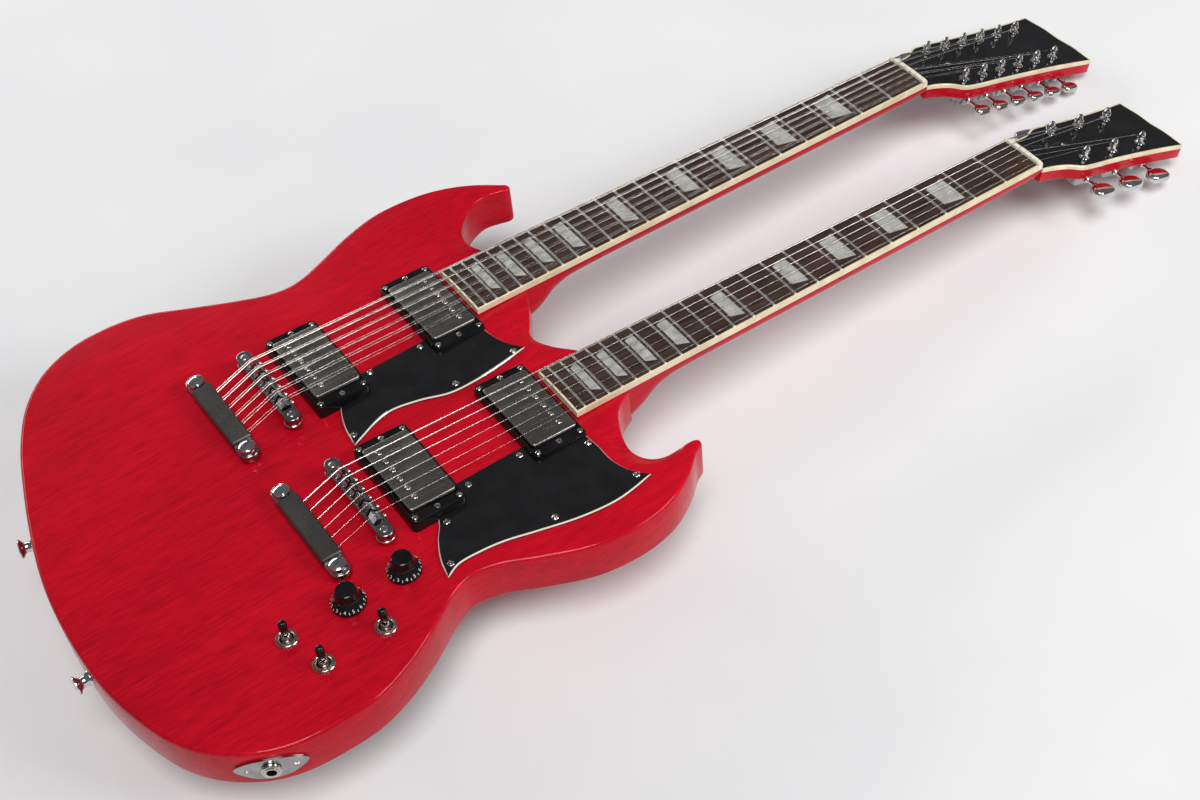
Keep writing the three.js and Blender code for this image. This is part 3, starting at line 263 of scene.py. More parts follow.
# %% The finishes of this guitar
CHERRY = finish(
    "cherry_lacquer", (0.3, 0.002, 0.008), (0.58, 0.0045, 0.018), (0.16, 0.24), coat=0.22, specular=0.08,
    size=9, grain=(100, 13, 0.5), pores=0.36, spread=(0.33, 0.65))
ROSEWOOD = roughened(
    finish(
        "rosewood", (0.014, 0.009, 0.007), (0.07, 0.037, 0.027), (0.42, 0.58), specular=0.2,
        grain=(420, 16, 0.15), spread=(0.36, 0.66)),
    0.25, 0.0002)
CREAM = finish("cream_binding", (0.66, 0.55, 0.36), (0.78, 0.69, 0.5), (0.22, 0.34), coat=0.3, size=30)
IVORY = finish("ivory_nut", (0.7, 0.64, 0.5), (0.82, 0.78, 0.66), (0.25, 0.4), size=120)
BLACK = finish(
    "black_gloss", (0.004, 0.004, 0.0045), (0.008, 0.008, 0.009), (0.1, 0.2), coat=0.3, specular=0.15,
    size=25)
SATIN = finish(
    "black_satin", (0.008, 0.008, 0.008), (0.014, 0.014, 0.015), (0.28, 0.42), specular=0.4, size=60)
CHROME = finish("chrome", (0.58, 0.57, 0.57), (0.72, 0.71, 0.71), (0.07, 0.16), metallic=1, size=50)
# A darker copy of the chrome, for the bridge body, tail lugs, tuner housings and jack plate: its lower base
# colour is painted shade, standing for dark reflections.
CHROME_PAINTED_SHADE = finish("chrome_painted_shade", (0.3, 0.29, 0.29), (0.42, 0.41, 0.41), (0.12, 0.24), metallic=1, size=50)
# Pickup covers: the brushed grain and fine relief are real, while the low base colour is painted shade
# standing for dark reflections.
COVER = roughened(
    finish(
        "brushed_cover_painted_shade", (0.24, 0.22, 0.205), (0.38, 0.355, 0.335), (0.22, 0.36), metallic=1, size=30,
        grain=(900, 900, 0), spread=(0.3, 0.7)),
    0.12, 0.0001)
# The tail bar is chrome. Its very dark base colour is painted shade, standing for the dark reflections of a
# dim studio; its brushed grain and fine relief are real.
TAIL_METAL_PAINTED_SHADE = roughened(
    finish(
        "tail_metal_painted_shade", (0.1, 0.092, 0.088), (0.17, 0.157, 0.15), (0.3, 0.42), metallic=0.95, size=30,
        grain=(700, 700, 0), spread=(0.3, 0.7)),
    0.15, 0.0001)
NICKEL = finish("nickel", (0.5, 0.47, 0.42), (0.66, 0.63, 0.57), (0.12, 0.24), metallic=1, size=80)
STEEL = finish("string_steel", (0.5, 0.48, 0.45), (0.66, 0.64, 0.6), (0.16, 0.28), metallic=1, size=200)
FRET = finish("fret_wire", (0.74, 0.72, 0.68), (0.86, 0.84, 0.8), (0.3, 0.42), metallic=1, size=120)
PEARL = finish(
    "pearl_inlay", (0.26, 0.25, 0.235), (0.5, 0.495, 0.47), (0.12, 0.2), coat=0.4, size=60,
    spread=(0.25, 0.75))
PALE = finish("pale_print", (0.72, 0.72, 0.69), (0.84, 0.84, 0.81), (0.4, 0.5), size=80)
FLOOR = finish("pale_floor", (0.72, 0.72, 0.73), (0.76, 0.76, 0.76), (0.8, 0.9), specular=0, size=2)
floor.data.materials.append(FLOOR)
print("finishes:", len(bpy.data.materials))

# %% [markdown]
# ## Places
# A guitar is laid out from its string length. The line of the bridges is the
# origin, each neck leans a little outwards and back, and each head leans back
# again. Three nested frames hold this, so a piece can be written flat.

# %% Frames of the necks
SCALE, BOARD, BOARD_THICK, HEEL = 628, 460, 6, 46
BODY_THICK, GAP, CROWN = 36, 0.3, 305
FAN_DEGREES, TILT_DEGREES = 0.3, 2.8
TILT = math.radians(TILT_DEGREES)
BOARD_END = SCALE - BOARD
PLANE_HEIGHT = BODY_THICK + GAP + BOARD_THICK + HEEL * math.sin(TILT)
HEAD_START, HEAD_DROP, HEAD_THICK = 465.6, 6.2, 13
NECK_OUT = 68  # from the middle of the body to the line of each neck
NECKS = {
    "12": dict(
        side=1, nut=45.5, end=56, head=194.5, tip=43, tilt=13.2, first=43, pitch=22.8, count=6, offset=25,
        post=2.6, housing=15, reach=49.5, key=(17, 12, 6), at_nut=36.5, at_bridge=51, pair=(1.9, 2.4),
        gauges=[(0.66, 1.17), (0.46, 0.99), (0.3, 0.76), (0.25, 0.56), (0.36, 0.36), (0.25, 0.25)]),
    "6": dict(
        side=-1, nut=42, end=52.5, head=163.5, tip=37.5, tilt=14.2, first=51, pitch=35.5, count=3,
        offset=20.5, post=3, housing=20, reach=46, key=(23, 17, 7), at_nut=35, at_bridge=51, pair=(0, 0),
        gauges=[(1.17,), (0.91,), (0.66,), (0.43,), (0.33,), (0.25,)])}

def turn(degrees, axis):
    return Matrix.Rotation(math.radians(degrees), 4, axis)

def moved(x, y, z):
    return Matrix.Translation((x, y, z))

for neck in NECKS.values():
    neck["base"] = moved(0, neck["side"] * NECK_OUT, 0) @ turn(neck["side"] * FAN_DEGREES, "Z")
    neck["plane"] = neck["base"] @ moved(BOARD_END, 0, PLANE_HEIGHT) @ turn(TILT_DEGREES, "Y")
    neck["face"] = neck["plane"] @ moved(HEAD_START, 0, -HEAD_DROP) @ turn(neck["tilt"], "Y")

def half_width(neck, x):
    return (neck["end"] + (neck["nut"] - neck["end"]) * x / BOARD) / 2

def crown(y):
    return -y * y / (2 * CROWN)

print("plane height", round(PLANE_HEIGHT, 3))

# %% [markdown]
# ## Shapes
# Most pieces are one of four shapes: a stack of rings, a turned profile, a plate
# with softened edges, or a hoop. A few short functions make their points and
# faces, and one function turns any list of them into a finished object.

# %% Outlines
FULL_TURN = 2 * math.pi
BOTH = (-1, 1)

def rounded_box(x0, x1, y0, y1, radius, steps=6):
    points = []
    near, far, low, high = x0 + radius, x1 - radius, y0 + radius, y1 - radius
    for x, y, start in ((far, high, 0), (near, high, 90), (near, low, 180), (far, low, 270)):
        for k in range(steps + 1):
            a = math.radians(start + 90 * k / steps)
            points.append(Vector((x + radius * math.cos(a), y + radius * math.sin(a))))
    return points

def around(x, half, radius, steps=6):
    """A rounded box about a place on the X axis, from half its length and half its width."""
    return rounded_box(x - half[0], x + half[0], -half[1], half[1], radius, steps)

def circle(x, y, radius, sides=32):
    angles = [FULL_TURN * k / sides for k in range(sides)]
    return [Vector((x + radius * math.cos(a), y + radius * math.sin(a))) for a in angles]

def mirrored(half, first=0):
    """A line that ends on the X axis, with its mirror image added from the point named first."""
    return half + [Vector((p.x, -p.y)) for p in reversed(half[first:-1])]

def smooth(points, steps):
    """A flowing line through the points, tightest where they are closest."""
    ends = [points[0] * 2 - points[1], *points, points[-1] * 2 - points[-2]]
    line = []
    for p0, p1, p2, p3 in zip(ends, ends[1:], ends[2:], ends[3:]):
        d0, d1, d2 = (max((b - a).length, 1e-6) ** 0.5 for a, b in ((p0, p1), (p1, p2), (p2, p3)))
        t1 = ((p1 - p0) / d0 - (p2 - p0) / (d0 + d1) + (p2 - p1) / d1) * d1
        t2 = ((p2 - p1) / d1 - (p3 - p1) / (d1 + d2) + (p3 - p2) / d2) * d1
        for k in range(steps):
            s = k / steps
            rise, bend = p2 * 3 - p1 * 3 - t1 * 2 - t2, p1 * 2 - p2 * 2 + t1 + t2
            line.append(p1 + t1 * s + rise * s * s + bend * s ** 3)
    return line + [points[-1]]

def drawn_in(points, distance):
    """The outline moved in by a distance, less where it bends tightly outwards."""
    count, inward, reach = len(points), [], []
    for i, p in enumerate(points):
        a, b = p - points[i - 1], points[(i + 1) % count] - p
        if a.length < 1e-6 or b.length < 1e-6:
            a = b = (b if a.length < 1e-6 else a)
        room = min(a.length, b.length)
        a, b = a.normalized(), b.normalized()
        bend = math.atan2(a.x * b.y - a.y * b.x, a.dot(b))
        inward.append(Vector((-(a.y + b.y), a.x + b.x)).normalized())
        reach.append(distance / max(math.cos(bend / 2), 0.6))
        if bend > 0.02 and distance > 0:
            reach[i] = min(reach[i], 0.42 * room / math.tan(bend / 2))
    for _ in range(6):
        reach = [min(r, (reach[i - 1] + r + reach[(i + 1) % count]) / 3) for i, r in enumerate(reach)]
    return [p + inward[i] * reach[i] for i, p in enumerate(points)]

print("outline tools ready")

# %% Solids from outlines
def stack(rings, closed=True):
    count = len(rings[0])
    faces = []
    for r in range(len(rings) - 1):
        for k in range(count):
            a, b = r * count + k, r * count + (k + 1) % count
            faces.append((a, b, b + count, a + count))
    if closed:
        faces += [tuple(reversed(range(count))), tuple(range((len(rings) - 1) * count, len(rings) * count))]
    return [p for ring in rings for p in ring], faces

def hoop(rings):
    points, faces = stack([*rings, rings[0]], closed=False)
    count = len(rings[0])
    wrap = count * len(rings)
    return points[:wrap], [tuple(i % wrap for i in face) for face in faces]

def at_height(outline, z):
    return [Vector((p.x, p.y, z)) for p in outline]

def softened(outline, z0, z1, low=0, high=0, steps=3):
    rings = []
    for k in range(steps + 1 if low else 1):
        a = math.pi / 2 * k / steps
        rings.append(at_height(drawn_in(outline, low * (1 - math.sin(a))), z0 + low * (1 - math.cos(a))))
    for k in range(steps + 1 if high else 1):
        a = math.pi / 2 * k / steps
        rings.append(at_height(drawn_in(outline, high * (1 - math.cos(a))), z1 - high * (1 - math.sin(a))))
    return stack(rings)

def turned(profile, sides=40):
    """A profile of (radius, height) that starts and ends on the axis."""
    rings = [at_height(circle(0, 0, r, sides), z) for r, z in profile[1:-1]]
    points, faces = stack(rings, closed=False)
    low, high = len(points), len(points) + 1
    points += [Vector((0, 0, profile[0][1])), Vector((0, 0, profile[-1][1]))]
    last = (len(rings) - 1) * sides
    for k in range(sides):
        faces.append((low, (k + 1) % sides, k))
        faces.append((high, last + k, last + (k + 1) % sides))
    return points, faces

def block(x0, x1, y0, y1, z0, z1, radius=0.6, soft=0.4):
    return softened(rounded_box(x0, x1, y0, y1, radius, 3), z0, z1, soft, soft, 2)

def placed(shape, matrix):
    return [matrix @ p for p in shape[0]], shape[1]

def prism(outline, z0, z1):
    return stack([at_height(outline, z0), at_height(outline, z1)])

print("solid tools ready")

# %% Finished objects
def cleaned(shape):
    bm = bmesh.new()
    points = [bm.verts.new(p) for p in shape[0]]
    for face in shape[1]:
        if len(set(face)) > 2:
            bm.faces.new([points[i] for i in face])
    bmesh.ops.remove_doubles(bm, verts=bm.verts, dist=1e-4)
    bmesh.ops.dissolve_degenerate(bm, edges=bm.edges, dist=1e-4)
    bmesh.ops.recalc_face_normals(bm, faces=bm.faces)
    mesh = bpy.data.meshes.new("shape")
    bm.to_mesh(mesh)
    bm.free()
    return mesh

def soft_shading(mesh, angle=32):
    bm = bmesh.new()
    bm.from_mesh(mesh)
    for face in bm.faces:
        face.smooth = True
    for edge in bm.edges:
        edge.smooth = len(edge.link_faces) == 2 and edge.calc_face_angle(0) < math.radians(angle)
    bm.to_mesh(mesh)
    bm.free()
    return mesh

def joined(shapes):
    bm = bmesh.new()
    for shape in shapes:
        mesh = cleaned(shape)
        bm.from_mesh(mesh)
        bpy.data.meshes.remove(mesh)
    mesh = bpy.data.meshes.new("joined")
    bm.to_mesh(mesh)
    bm.free()
    return mesh

def piece(name, mesh, material, matrix=Matrix(), body="guitar", stands_for=(), kind=None, angle=32):
    """Puts a millimetre mesh in place in metres, dressed, riding and standing for its nodes."""
    mesh.transform(Matrix.Scale(MM, 4) @ matrix)
    soft_shading(mesh, angle)
    mesh.materials.clear()
    mesh.materials.append(material)
    mesh.name = name
    made = new_object(name, mesh)
    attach(made, body)
    if stands_for:
        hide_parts(*stands_for)
    return made

print("piece maker ready")

# %% Cuts and modifiers
def applied(mesh, change):
    """The mesh after one modifier, which the function given sets up."""
    holder = new_object("holder", mesh)
    change(holder)
    result = bpy.data.meshes.new_from_object(holder.evaluated_get(bpy.context.evaluated_depsgraph_get()))
    bpy.data.objects.remove(holder)
    return result

def carved(mesh, tools, operation="DIFFERENCE"):
    """The mesh with closed tool shapes cut out of it, or joined to it, one after the other."""
    for tool in tools:
        knife = new_object("knife", joined([tool]))
        def cut(holder):
            modifier = holder.modifiers.new("cut", "BOOLEAN")
            modifier.object, modifier.operation, modifier.solver = knife, operation, "MANIFOLD"
            bpy.context.view_layer.update()
        mesh = applied(mesh, cut)
        bpy.data.objects.remove(knife)
    return mesh

print("carving ready")

# %% [markdown]
# ## Repeats
# Screws, studs and tuner posts repeat, so Geometry Nodes set them out. One tree
# puts a pattern on every mark of a layout, turned at random where real screws
# would be. The seed is fixed, so each run gives the same guitar.

# %% Copies on marks
def layout_tree():
    group, start, end = node_group(
        "copies_on_marks", "Geometry",
        [("Marks", "Geometry"), ("Pattern", "Object"), ("Random Turn", "Float"), ("Seed", "Int"),
         ("Finish", "Material")],
        [("Copies", "Geometry")])
    pattern = add(group, "GeometryNodeObjectInfo")
    chance = add(group, "FunctionNodeRandomValue", data_type="FLOAT")
    twist = add(group, "ShaderNodeCombineXYZ")
    spots = add(group, "GeometryNodeInstanceOnPoints")
    whole = add(group, "GeometryNodeRealizeInstances")
    dress = add(group, "GeometryNodeSetMaterial")
    wired(
        group, (start, "Marks", spots, "Points"), (start, "Pattern", pattern, "Object"),
        (start, "Random Turn", chance, 3), (start, "Seed", chance, "Seed"), (chance, 1, twist, "Z"),
        (twist, "Vector", spots, "Rotation"), (pattern, "Geometry", spots, "Instance"),
        (spots, "Instances", whole, "Geometry"), (whole, "Geometry", dress, "Geometry"),
        (start, "Finish", dress, "Material"), (dress, "Geometry", end, "Copies"))
    return group

def with_tree(mesh, group, values):
    """The mesh after a node tree, whose inputs are set before it first runs."""
    names = {item.name: item.identifier for item in group.interface.items_tree if item.in_out == "INPUT"}
    def grow(holder):
        modifier = holder.modifiers.new("grow", "NODES")
        modifier.node_group = group
        for label, value in values.items():
            modifier[names[label]] = value
        bpy.context.view_layer.update()
    return applied(mesh, grow)

LAYOUT = layout_tree()

def copies(shapes, spots, material, random_turn=0.0, seed=7):
    """A pattern, as a mesh or as shapes, set on each spot."""
    whole = shapes if isinstance(shapes, bpy.types.Mesh) else joined(shapes)
    pattern = new_object("pattern", soft_shading(whole))
    marks = bpy.data.meshes.new("marks")
    marks.from_pydata([Vector(p).to_3d() for p in spots], [], [])
    values = {"Pattern": pattern, "Random Turn": random_turn, "Seed": seed, "Finish": material}
    mesh = with_tree(marks, LAYOUT, values)
    bpy.data.objects.remove(pattern)
    return mesh

def set_of(name, shapes, spots, material, matrix=Matrix(), random_turn=0.0, seed=7, **where):
    """One piece made of copies on their spots, with the words that piece() takes."""
    return piece(name, copies(shapes, spots, material, random_turn, seed), material, matrix, **where)

print("layout tree:", len(LAYOUT.nodes), "nodes")

# %% A cross-head screw
def screw_shape(radius, dome, slots=2, rings=7, sides=32):
    """A domed head with its cross or slot pressed in, on a short shank."""
    points = []
    for r in range(1, rings + 1):
        for k in range(sides):
            a = FULL_TURN * k / sides
            x, y = radius * r / rings * math.cos(a), radius * r / rings * math.sin(a)
            z = dome * (1 - (r / rings) ** 2)
            in_slot = abs(y) < 0.17 * radius or (slots > 1 and abs(x) < 0.17 * radius)
            if in_slot and r < rings * (0.72 if slots > 1 else 1.2):
                z -= dome * 0.75
            points.append(Vector((x, y, z)))
    rows, skin = stack([points[i * sides:(i + 1) * sides] for i in range(rings)], closed=False)
    low = [Vector((p.x, p.y, -dome)) for p in points[-sides:]]
    points = rows + low + [Vector((0, 0, dome * 0.25)), Vector((0, 0, -dome))]
    faces = [tuple(reversed(face)) for face in skin]
    edge, base = (rings - 1) * sides, rings * sides
    for k in range(sides):
        n = (k + 1) % sides
        faces.append((edge + k, base + k, base + n, edge + n))
        faces += [(len(points) - 2, k, n), (len(points) - 1, base + n, base + k)]
    return points, faces

def bar_outline(x0, x1, half, y=0):
    return [Vector((x0, y - half)), Vector((x1, y - half)), Vector((x1, y + half)), Vector((x0, y + half))]

def slotted(radius, dome, deep, wide=1.1, sides=36):
    """A turned head with a straight slot sawn across it."""
    arch = [(radius * math.cos(a), dome * math.sin(a)) for a in (0, 0.4, 0.8, 1.2)]
    head = joined([turned([(0, -deep), (radius, -deep), *arch, (0, dome)], sides)])
    saw = prism(bar_outline(-radius - 1, radius + 1, wide / 2), dome * 0.4, dome + 1)
    return carved(head, [saw])

print("screw:", len(screw_shape(2, 0.9)[1]), "faces")

# %% [markdown]
# ## The body
# The body is one board, sawn to an outline with two horns and three cutaways. Its
# outline is a list of shares of the length and width. The line through them is
# smoothed, the edges are rounded, and the hollows are cut as they are on a router.

# %% Outline of the body
RIM = [
    (0.88, 0.744), (0.872, 0.776), (0.876, 0.804), (0.895, 0.829), (0.92, 0.846), (0.946, 0.854),
    (0.97, 0.849), (0.988, 0.843), (0.996, 0.845), (1, 0.851), (0.998, 0.859), (0.991, 0.866),
    (0.951, 0.902), (0.905, 0.929),
    (0.855, 0.944), (0.781, 0.947), (0.716, 0.929), (0.662, 0.905), (0.61, 0.884), (0.579, 0.88),
    (0.548, 0.887), (0.495, 0.913), (0.429, 0.951), (0.365, 0.987), (0.303, 1), (0.239, 0.995),
    (0.179, 0.966), (0.13, 0.913), (0.089, 0.831), (0.058, 0.737), (0.029, 0.628), (0.008, 0.517),
    (0, 0.406), (0.004, 0.282), (0.021, 0.192), (0.043, 0.125), (0.076, 0.072), (0.126, 0.028),
    (0.175, 0.007), (0.237, 0), (0.295, 0.003), (0.353, 0.023), (0.41, 0.055), (0.468, 0.095),
    (0.503, 0.109), (0.546, 0.1), (0.606, 0.067), (0.672, 0.036), (0.746, 0.025), (0.81, 0.036),
    (0.862, 0.067), (0.889, 0.092), (0.901, 0.1), (0.908, 0.105), (0.909, 0.113), (0.904, 0.118),
    (0.894, 0.12), (0.87, 0.119),
    (0.847, 0.123), (0.83, 0.139), (0.821, 0.169), (0.825, 0.199), (0.837, 0.231), (0.856, 0.257),
]
MIDDLE_RIM = [(0.868, 0.418), (0.846, 0.448), (0.834, 0.48), (0.836, 0.503), (0.848, 0.524), (0.864, 0.552)]

BODY_LONG, BODY_WIDE, BUTT, LOW_SIDE = 485, 433, -215, -214

def on_body(share):
    return Vector((share[0] * BODY_LONG + BUTT, share[1] * BODY_WIDE + LOW_SIDE))

def heel_corner(neck, sign):
    corner = neck["base"] @ Vector((BOARD_END + HEEL, sign * half_width(neck, HEEL), 0))
    return corner.to_2d()

TWELVE, SIX = NECKS["12"], NECKS["6"]
LOW_Y, HIGH_Y = cad_box[0].y / MM, cad_box[1].y / MM
OUTLINE = smooth([heel_corner(TWELVE, 1), *map(on_body, RIM), heel_corner(SIX, -1)], 8)
OUTLINE += smooth([heel_corner(SIX, 1), *map(on_body, MIDDLE_RIM), heel_corner(TWELVE, -1)], 10)
OUTLINE = [Vector((p.x, min(max(p.y, LOW_Y), HIGH_Y))) for p in OUTLINE]
print("body outline:", len(OUTLINE), "points")

# %% Hollows of the body
PICKUPS = {"neck": dict(x=-24.7, tall=5.6, poles=1), "bridge": dict(x=-126.8, tall=10, poles=-1)}
POST_OUT, STUD_OUT, STUD_BACK = 37, 41.25, -40  # bridge posts and tailpiece studs from the string line
POCKET_FLOOR, ROUT_FLOOR, BUSHING_FLOOR, OPEN_AIR = 10, 14, 17.7, 60
JACK_HEIGHT, STRAP_HEIGHT = 19, 18
COVER_DEEP, CAVITY_ROOF, CAVITY_ROUND, COVER_LEDGE = 2.6, 28, 9, 6
CAVITY = [
    on_body(s) for s in ((0.169, 0.068), (0.394, 0.068), (0.472, 0.138), (0.472, 0.224), (0.169, 0.224))]
KNOBS = [on_body(s) for s in ((0.344, 0.182), (0.435, 0.182))]
TOGGLES = [on_body(s) for s in ((0.245, 0.182), (0.266, 0.106), (0.365, 0.107))]

def round_corners(points, radius, steps=5):
    out = []
    for i, corner in enumerate(points):
        back = (points[i - 1] - corner).normalized()
        on = (points[(i + 1) % len(points)] - corner).normalized()
        half = back.angle(on) / 2
        centre = corner + (back + on).normalized() * (radius / math.sin(half))
        start = corner + back * (radius / math.tan(half)) - centre
        end = corner + on * (radius / math.tan(half)) - centre
        sweep = math.atan2(start.x * end.y - start.y * end.x, start.dot(end))
        for k in range(steps + 1):
            c, s = math.cos(sweep * k / steps), math.sin(sweep * k / steps)
            out.append(centre + Vector((start.x * c - start.y * s, start.x * s + start.y * c)))
    return out

def scoop(x, y):
    """The hollow carved into a cutaway's edge: a shallow cone with a soft lip."""
    profile = [(0, 30), (17.3, 30), (22, 31.9), (27, 34.3), (30, 35.5), (33, 36.05), (36, 36.4), (0, 36.4)]
    return placed(turned(profile, 96), moved(x, y, 0))

def neck_hollows(neck):
    near, far = BOARD_END - GAP, BOARD_END + HEEL + 20
    wide = [half_width(neck, 0) + GAP, half_width(neck, HEEL + 20) + GAP]
    pocket = [
        Vector((near, -wide[0])), Vector((far, -wide[1])), Vector((far, wide[1])), Vector((near, wide[0]))
    ]
    shapes = [prism(pocket, POCKET_FLOOR, OPEN_AIR)]
    shapes += [prism(around(BOARD_END + p["x"], (21, 38), 4), ROUT_FLOOR, OPEN_AIR) for p in PICKUPS.values()]
    for sign in BOTH:
        shapes.append(prism(circle(0, sign * POST_OUT, 2.8, 24), BUSHING_FLOOR, OPEN_AIR))
        shapes.append(prism(circle(STUD_BACK, sign * STUD_OUT, 4.3, 24), BUSHING_FLOOR, OPEN_AIR))
    return [placed(shape, neck["base"]) for shape in shapes]

print("hollows planned at", [tuple(round(v, 1) for v in p) for p in KNOBS + TOGGLES])

# %% Places on the rim
def nearest_rim(share):
    """Frame on the side: Z points out of the rim and X runs along it."""
    goal = on_body(share)
    best = None
    for a, b in zip(OUTLINE, OUTLINE[1:] + OUTLINE[:1]):
        t = min(max((goal - a).dot(b - a) / max((b - a).length_squared, 1e-9), 0), 1)
        point = a.lerp(b, t)
        if best is None or (point - goal).length < best[0]:
            best = ((point - goal).length, point, (b - a).normalized())
    _, point, along = best
    out = Vector((along.y, -along.x, 0))
    frame_3 = Matrix((Vector((0, 0, 1)).cross(out), Vector((0, 0, 1)), out)).transposed().to_4x4()
    return moved(point.x, point.y, 0) @ frame_3

JACK_RIM = moved(0, 0, JACK_HEIGHT) @ nearest_rim((0.136, 0.022))
STRAP_RIMS = [moved(0, 0, STRAP_HEIGHT) @ nearest_rim(share) for share in ((0.03, 0.647), (0, 0.342))]
print("jack at", [round(v, 1) for v in JACK_RIM.translation])

# %% Cut the body
cuts = [scoop(*on_body(s)) for s in ((0.905, 0.781), (0.88, 0.501), (0.856, 0.176))]
cuts += neck_hollows(TWELVE) + neck_hollows(SIX)
cavity_edge = round_corners(CAVITY, CAVITY_ROUND)
cuts.append(prism(cavity_edge, COVER_DEEP, CAVITY_ROOF))
cuts.append(prism(drawn_in(cavity_edge, -COVER_LEDGE), -5, COVER_DEEP))
cuts += [prism(circle(p.x, p.y, 4.5, 24), 20, 50) for p in KNOBS + TOGGLES]
cuts.append(placed(prism(circle(0, 0, 9.3, 32), -60, 20), JACK_RIM))
cuts += [placed(prism(circle(0, 0, 2.3, 16), -22.3, 5), rim) for rim in STRAP_RIMS]
EDGE_ROUND = 3.2
body_mesh = carved(joined([softened(OUTLINE, 0, BODY_THICK, EDGE_ROUND, EDGE_ROUND, 5)]), cuts)
body = piece("body_wood", body_mesh, CHERRY, stands_for=["body"], kind="cherry_wood", angle=24)
print("body:", len(body.data.polygons), "faces")

# %% [markdown]
# ## Necks and heads
# A neck is a half oval that grows into a deep heel. It is lofted through a few
# sections, and a soft curve fills in between them. The head is a plate in three
# layers: red wood, a cream edge and a black veneer.

# %% Neck wood
SECTIONS = [  # distance from the body end of the board, depth under the board, squareness
    (46.3, 42, 0.3), (52.5, 40.5, 0.35), (61.9, 36.5, 0.45),
    (72.3, 28.4, 0.6), (85.3, 23.1, 0.7), (98.3, 21.8, 0.75),
    (230, 21, 0.75), (455, 20, 0.75), (465.45, 20, 0.75), (478.6, 21, 0.75),
]

def neck_ring(x, half, top, bottom, square, steps=28):
    ring = []
    for k in range(steps + 1):
        a = math.pi * k / steps
        c, s = -math.cos(a), abs(math.sin(a))
        ring.append(
            Vector((x, math.copysign(abs(c) ** square, c) * half, top + (bottom - top) * s ** square)))
    return ring

def neck_shape(neck):
    marks = smooth(
        [Vector((x, depth, square)) for x, depth, square in SECTIONS[:8]], 4
    ) + [Vector(s) for s in SECTIONS[8:]]
    rings = []
    for x, depth, square in marks:
        top = -6.3 if x < 470 else -13.5
        rings.append(neck_ring(x, half_width(neck, min(x, BOARD)), top, -depth, square))
    return placed(stack(rings), neck["plane"])

# Shares of a head's length and half width, by the number of tuners on a side
HEAD_SIDES = {
    6: [
        (0, 0.53), (0.06, 0.56), (0.125, 0.65), (0.18, 0.82), (0.235, 0.865), (0.45, 0.875), (0.75, 0.92),
        (0.975, 1)],
    3: [
        (0, 0.58), (0.08, 0.61), (0.17, 0.69), (0.245, 0.845), (0.31, 0.87), (0.5, 0.87), (0.75, 0.92),
        (0.975, 1)]}
HEAD_TOP = [(0.985, 0.985), (0.993, 0.72), (1, 0.44), (0.996, 0.18), (0.992, 0)]
VENEER_DEEP = 3.3

def head_outline(neck):
    def along(shares, steps):
        return smooth([Vector((x * neck["head"], y * neck["tip"])) for x, y in shares], steps)
    return list(reversed(mirrored(along(HEAD_SIDES[neck["count"]], 4) + along(HEAD_TOP, 3))))

for tag, neck in NECKS.items():
    near, far = half_width(neck, 0), half_width(neck, 46.6)
    end = [Vector((0, -near)), Vector((46.6, -far)), Vector((46.6, far)), Vector((0, near))]
    tenon = placed(prism(end, -33.9, -6.3), neck["plane"])
    outline = head_outline(neck)
    wood = placed(softened(outline, -HEAD_THICK, -VENEER_DEEP, 1.6, 0, 3), neck["face"])
    whole = joined([neck_shape(neck), tenon, wood])
    piece(f"neck_wood_{tag}", whole, CHERRY, stands_for=[f"neck_{tag}"], kind="cherry_wood", angle=40)
    levels = ((0, -VENEER_DEEP), (0, -0.5), (0.5, 0), (2, 0), (2, -VENEER_DEEP))
    edge = hoop([at_height(drawn_in(outline, inset), z) for inset, z in levels])
    piece(f"head_edge_{tag}", joined([edge]), CREAM, neck["face"], kind="ivory_nut", angle=40)
    veneer = softened(drawn_in(outline, 1.98), -VENEER_DEEP, -0.02, 0, 0)
    piece(f"head_veneer_{tag}", joined([veneer]), BLACK, neck["face"], kind="black_plastic")
print("necks ready")

# %% [markdown]
# ## Fingerboards
# The board is rosewood with a slight crown, held in a cream frame. Frets follow a
# rule, so Geometry Nodes place them: each fret stands at the string length divided
# by the twelfth root of two, once for each fret.

# %% Board, frame and inlays
FRETS = 22

def fret_place(k):
    return BOARD - SCALE * (1 - 2 ** (-k / 12))

def crowned(x, y0, y1, bottom, lift, steps=10):
    top = [
        Vector((x, y1 + (y0 - y1) * k / steps, crown(y1 + (y0 - y1) * k / steps) + lift))
        for k in range(steps + 1)]
    return [Vector((x, y0, bottom)), Vector((x, y1, bottom)), *top]

def strip(neck, x0, x1, side0, side1, lift=0.0):
    """A crowned strip of the board between two lines, given from the neck's edges."""
    rings = []
    for k in range(9):
        x = x0 + (x1 - x0) * k / 8
        half = half_width(neck, x)
        rings.append(crowned(x, side0(half), side1(half), -BOARD_THICK, lift))
    return stack(rings)

def inlay(neck, k):
    """A trapezoid between two frets, long side to the nut."""
    low, high = fret_place(k), fret_place(k - 1)
    middle, reach = (low + high) / 2, (high - low) * 0.3
    half = half_width(neck, middle)
    rings = []
    for x, share in ((middle - reach, 0.52), (middle + reach, 0.68)):
        rings.append(crowned(x, -half * share, half * share, -1, 0.035, 12))
    return stack(rings)

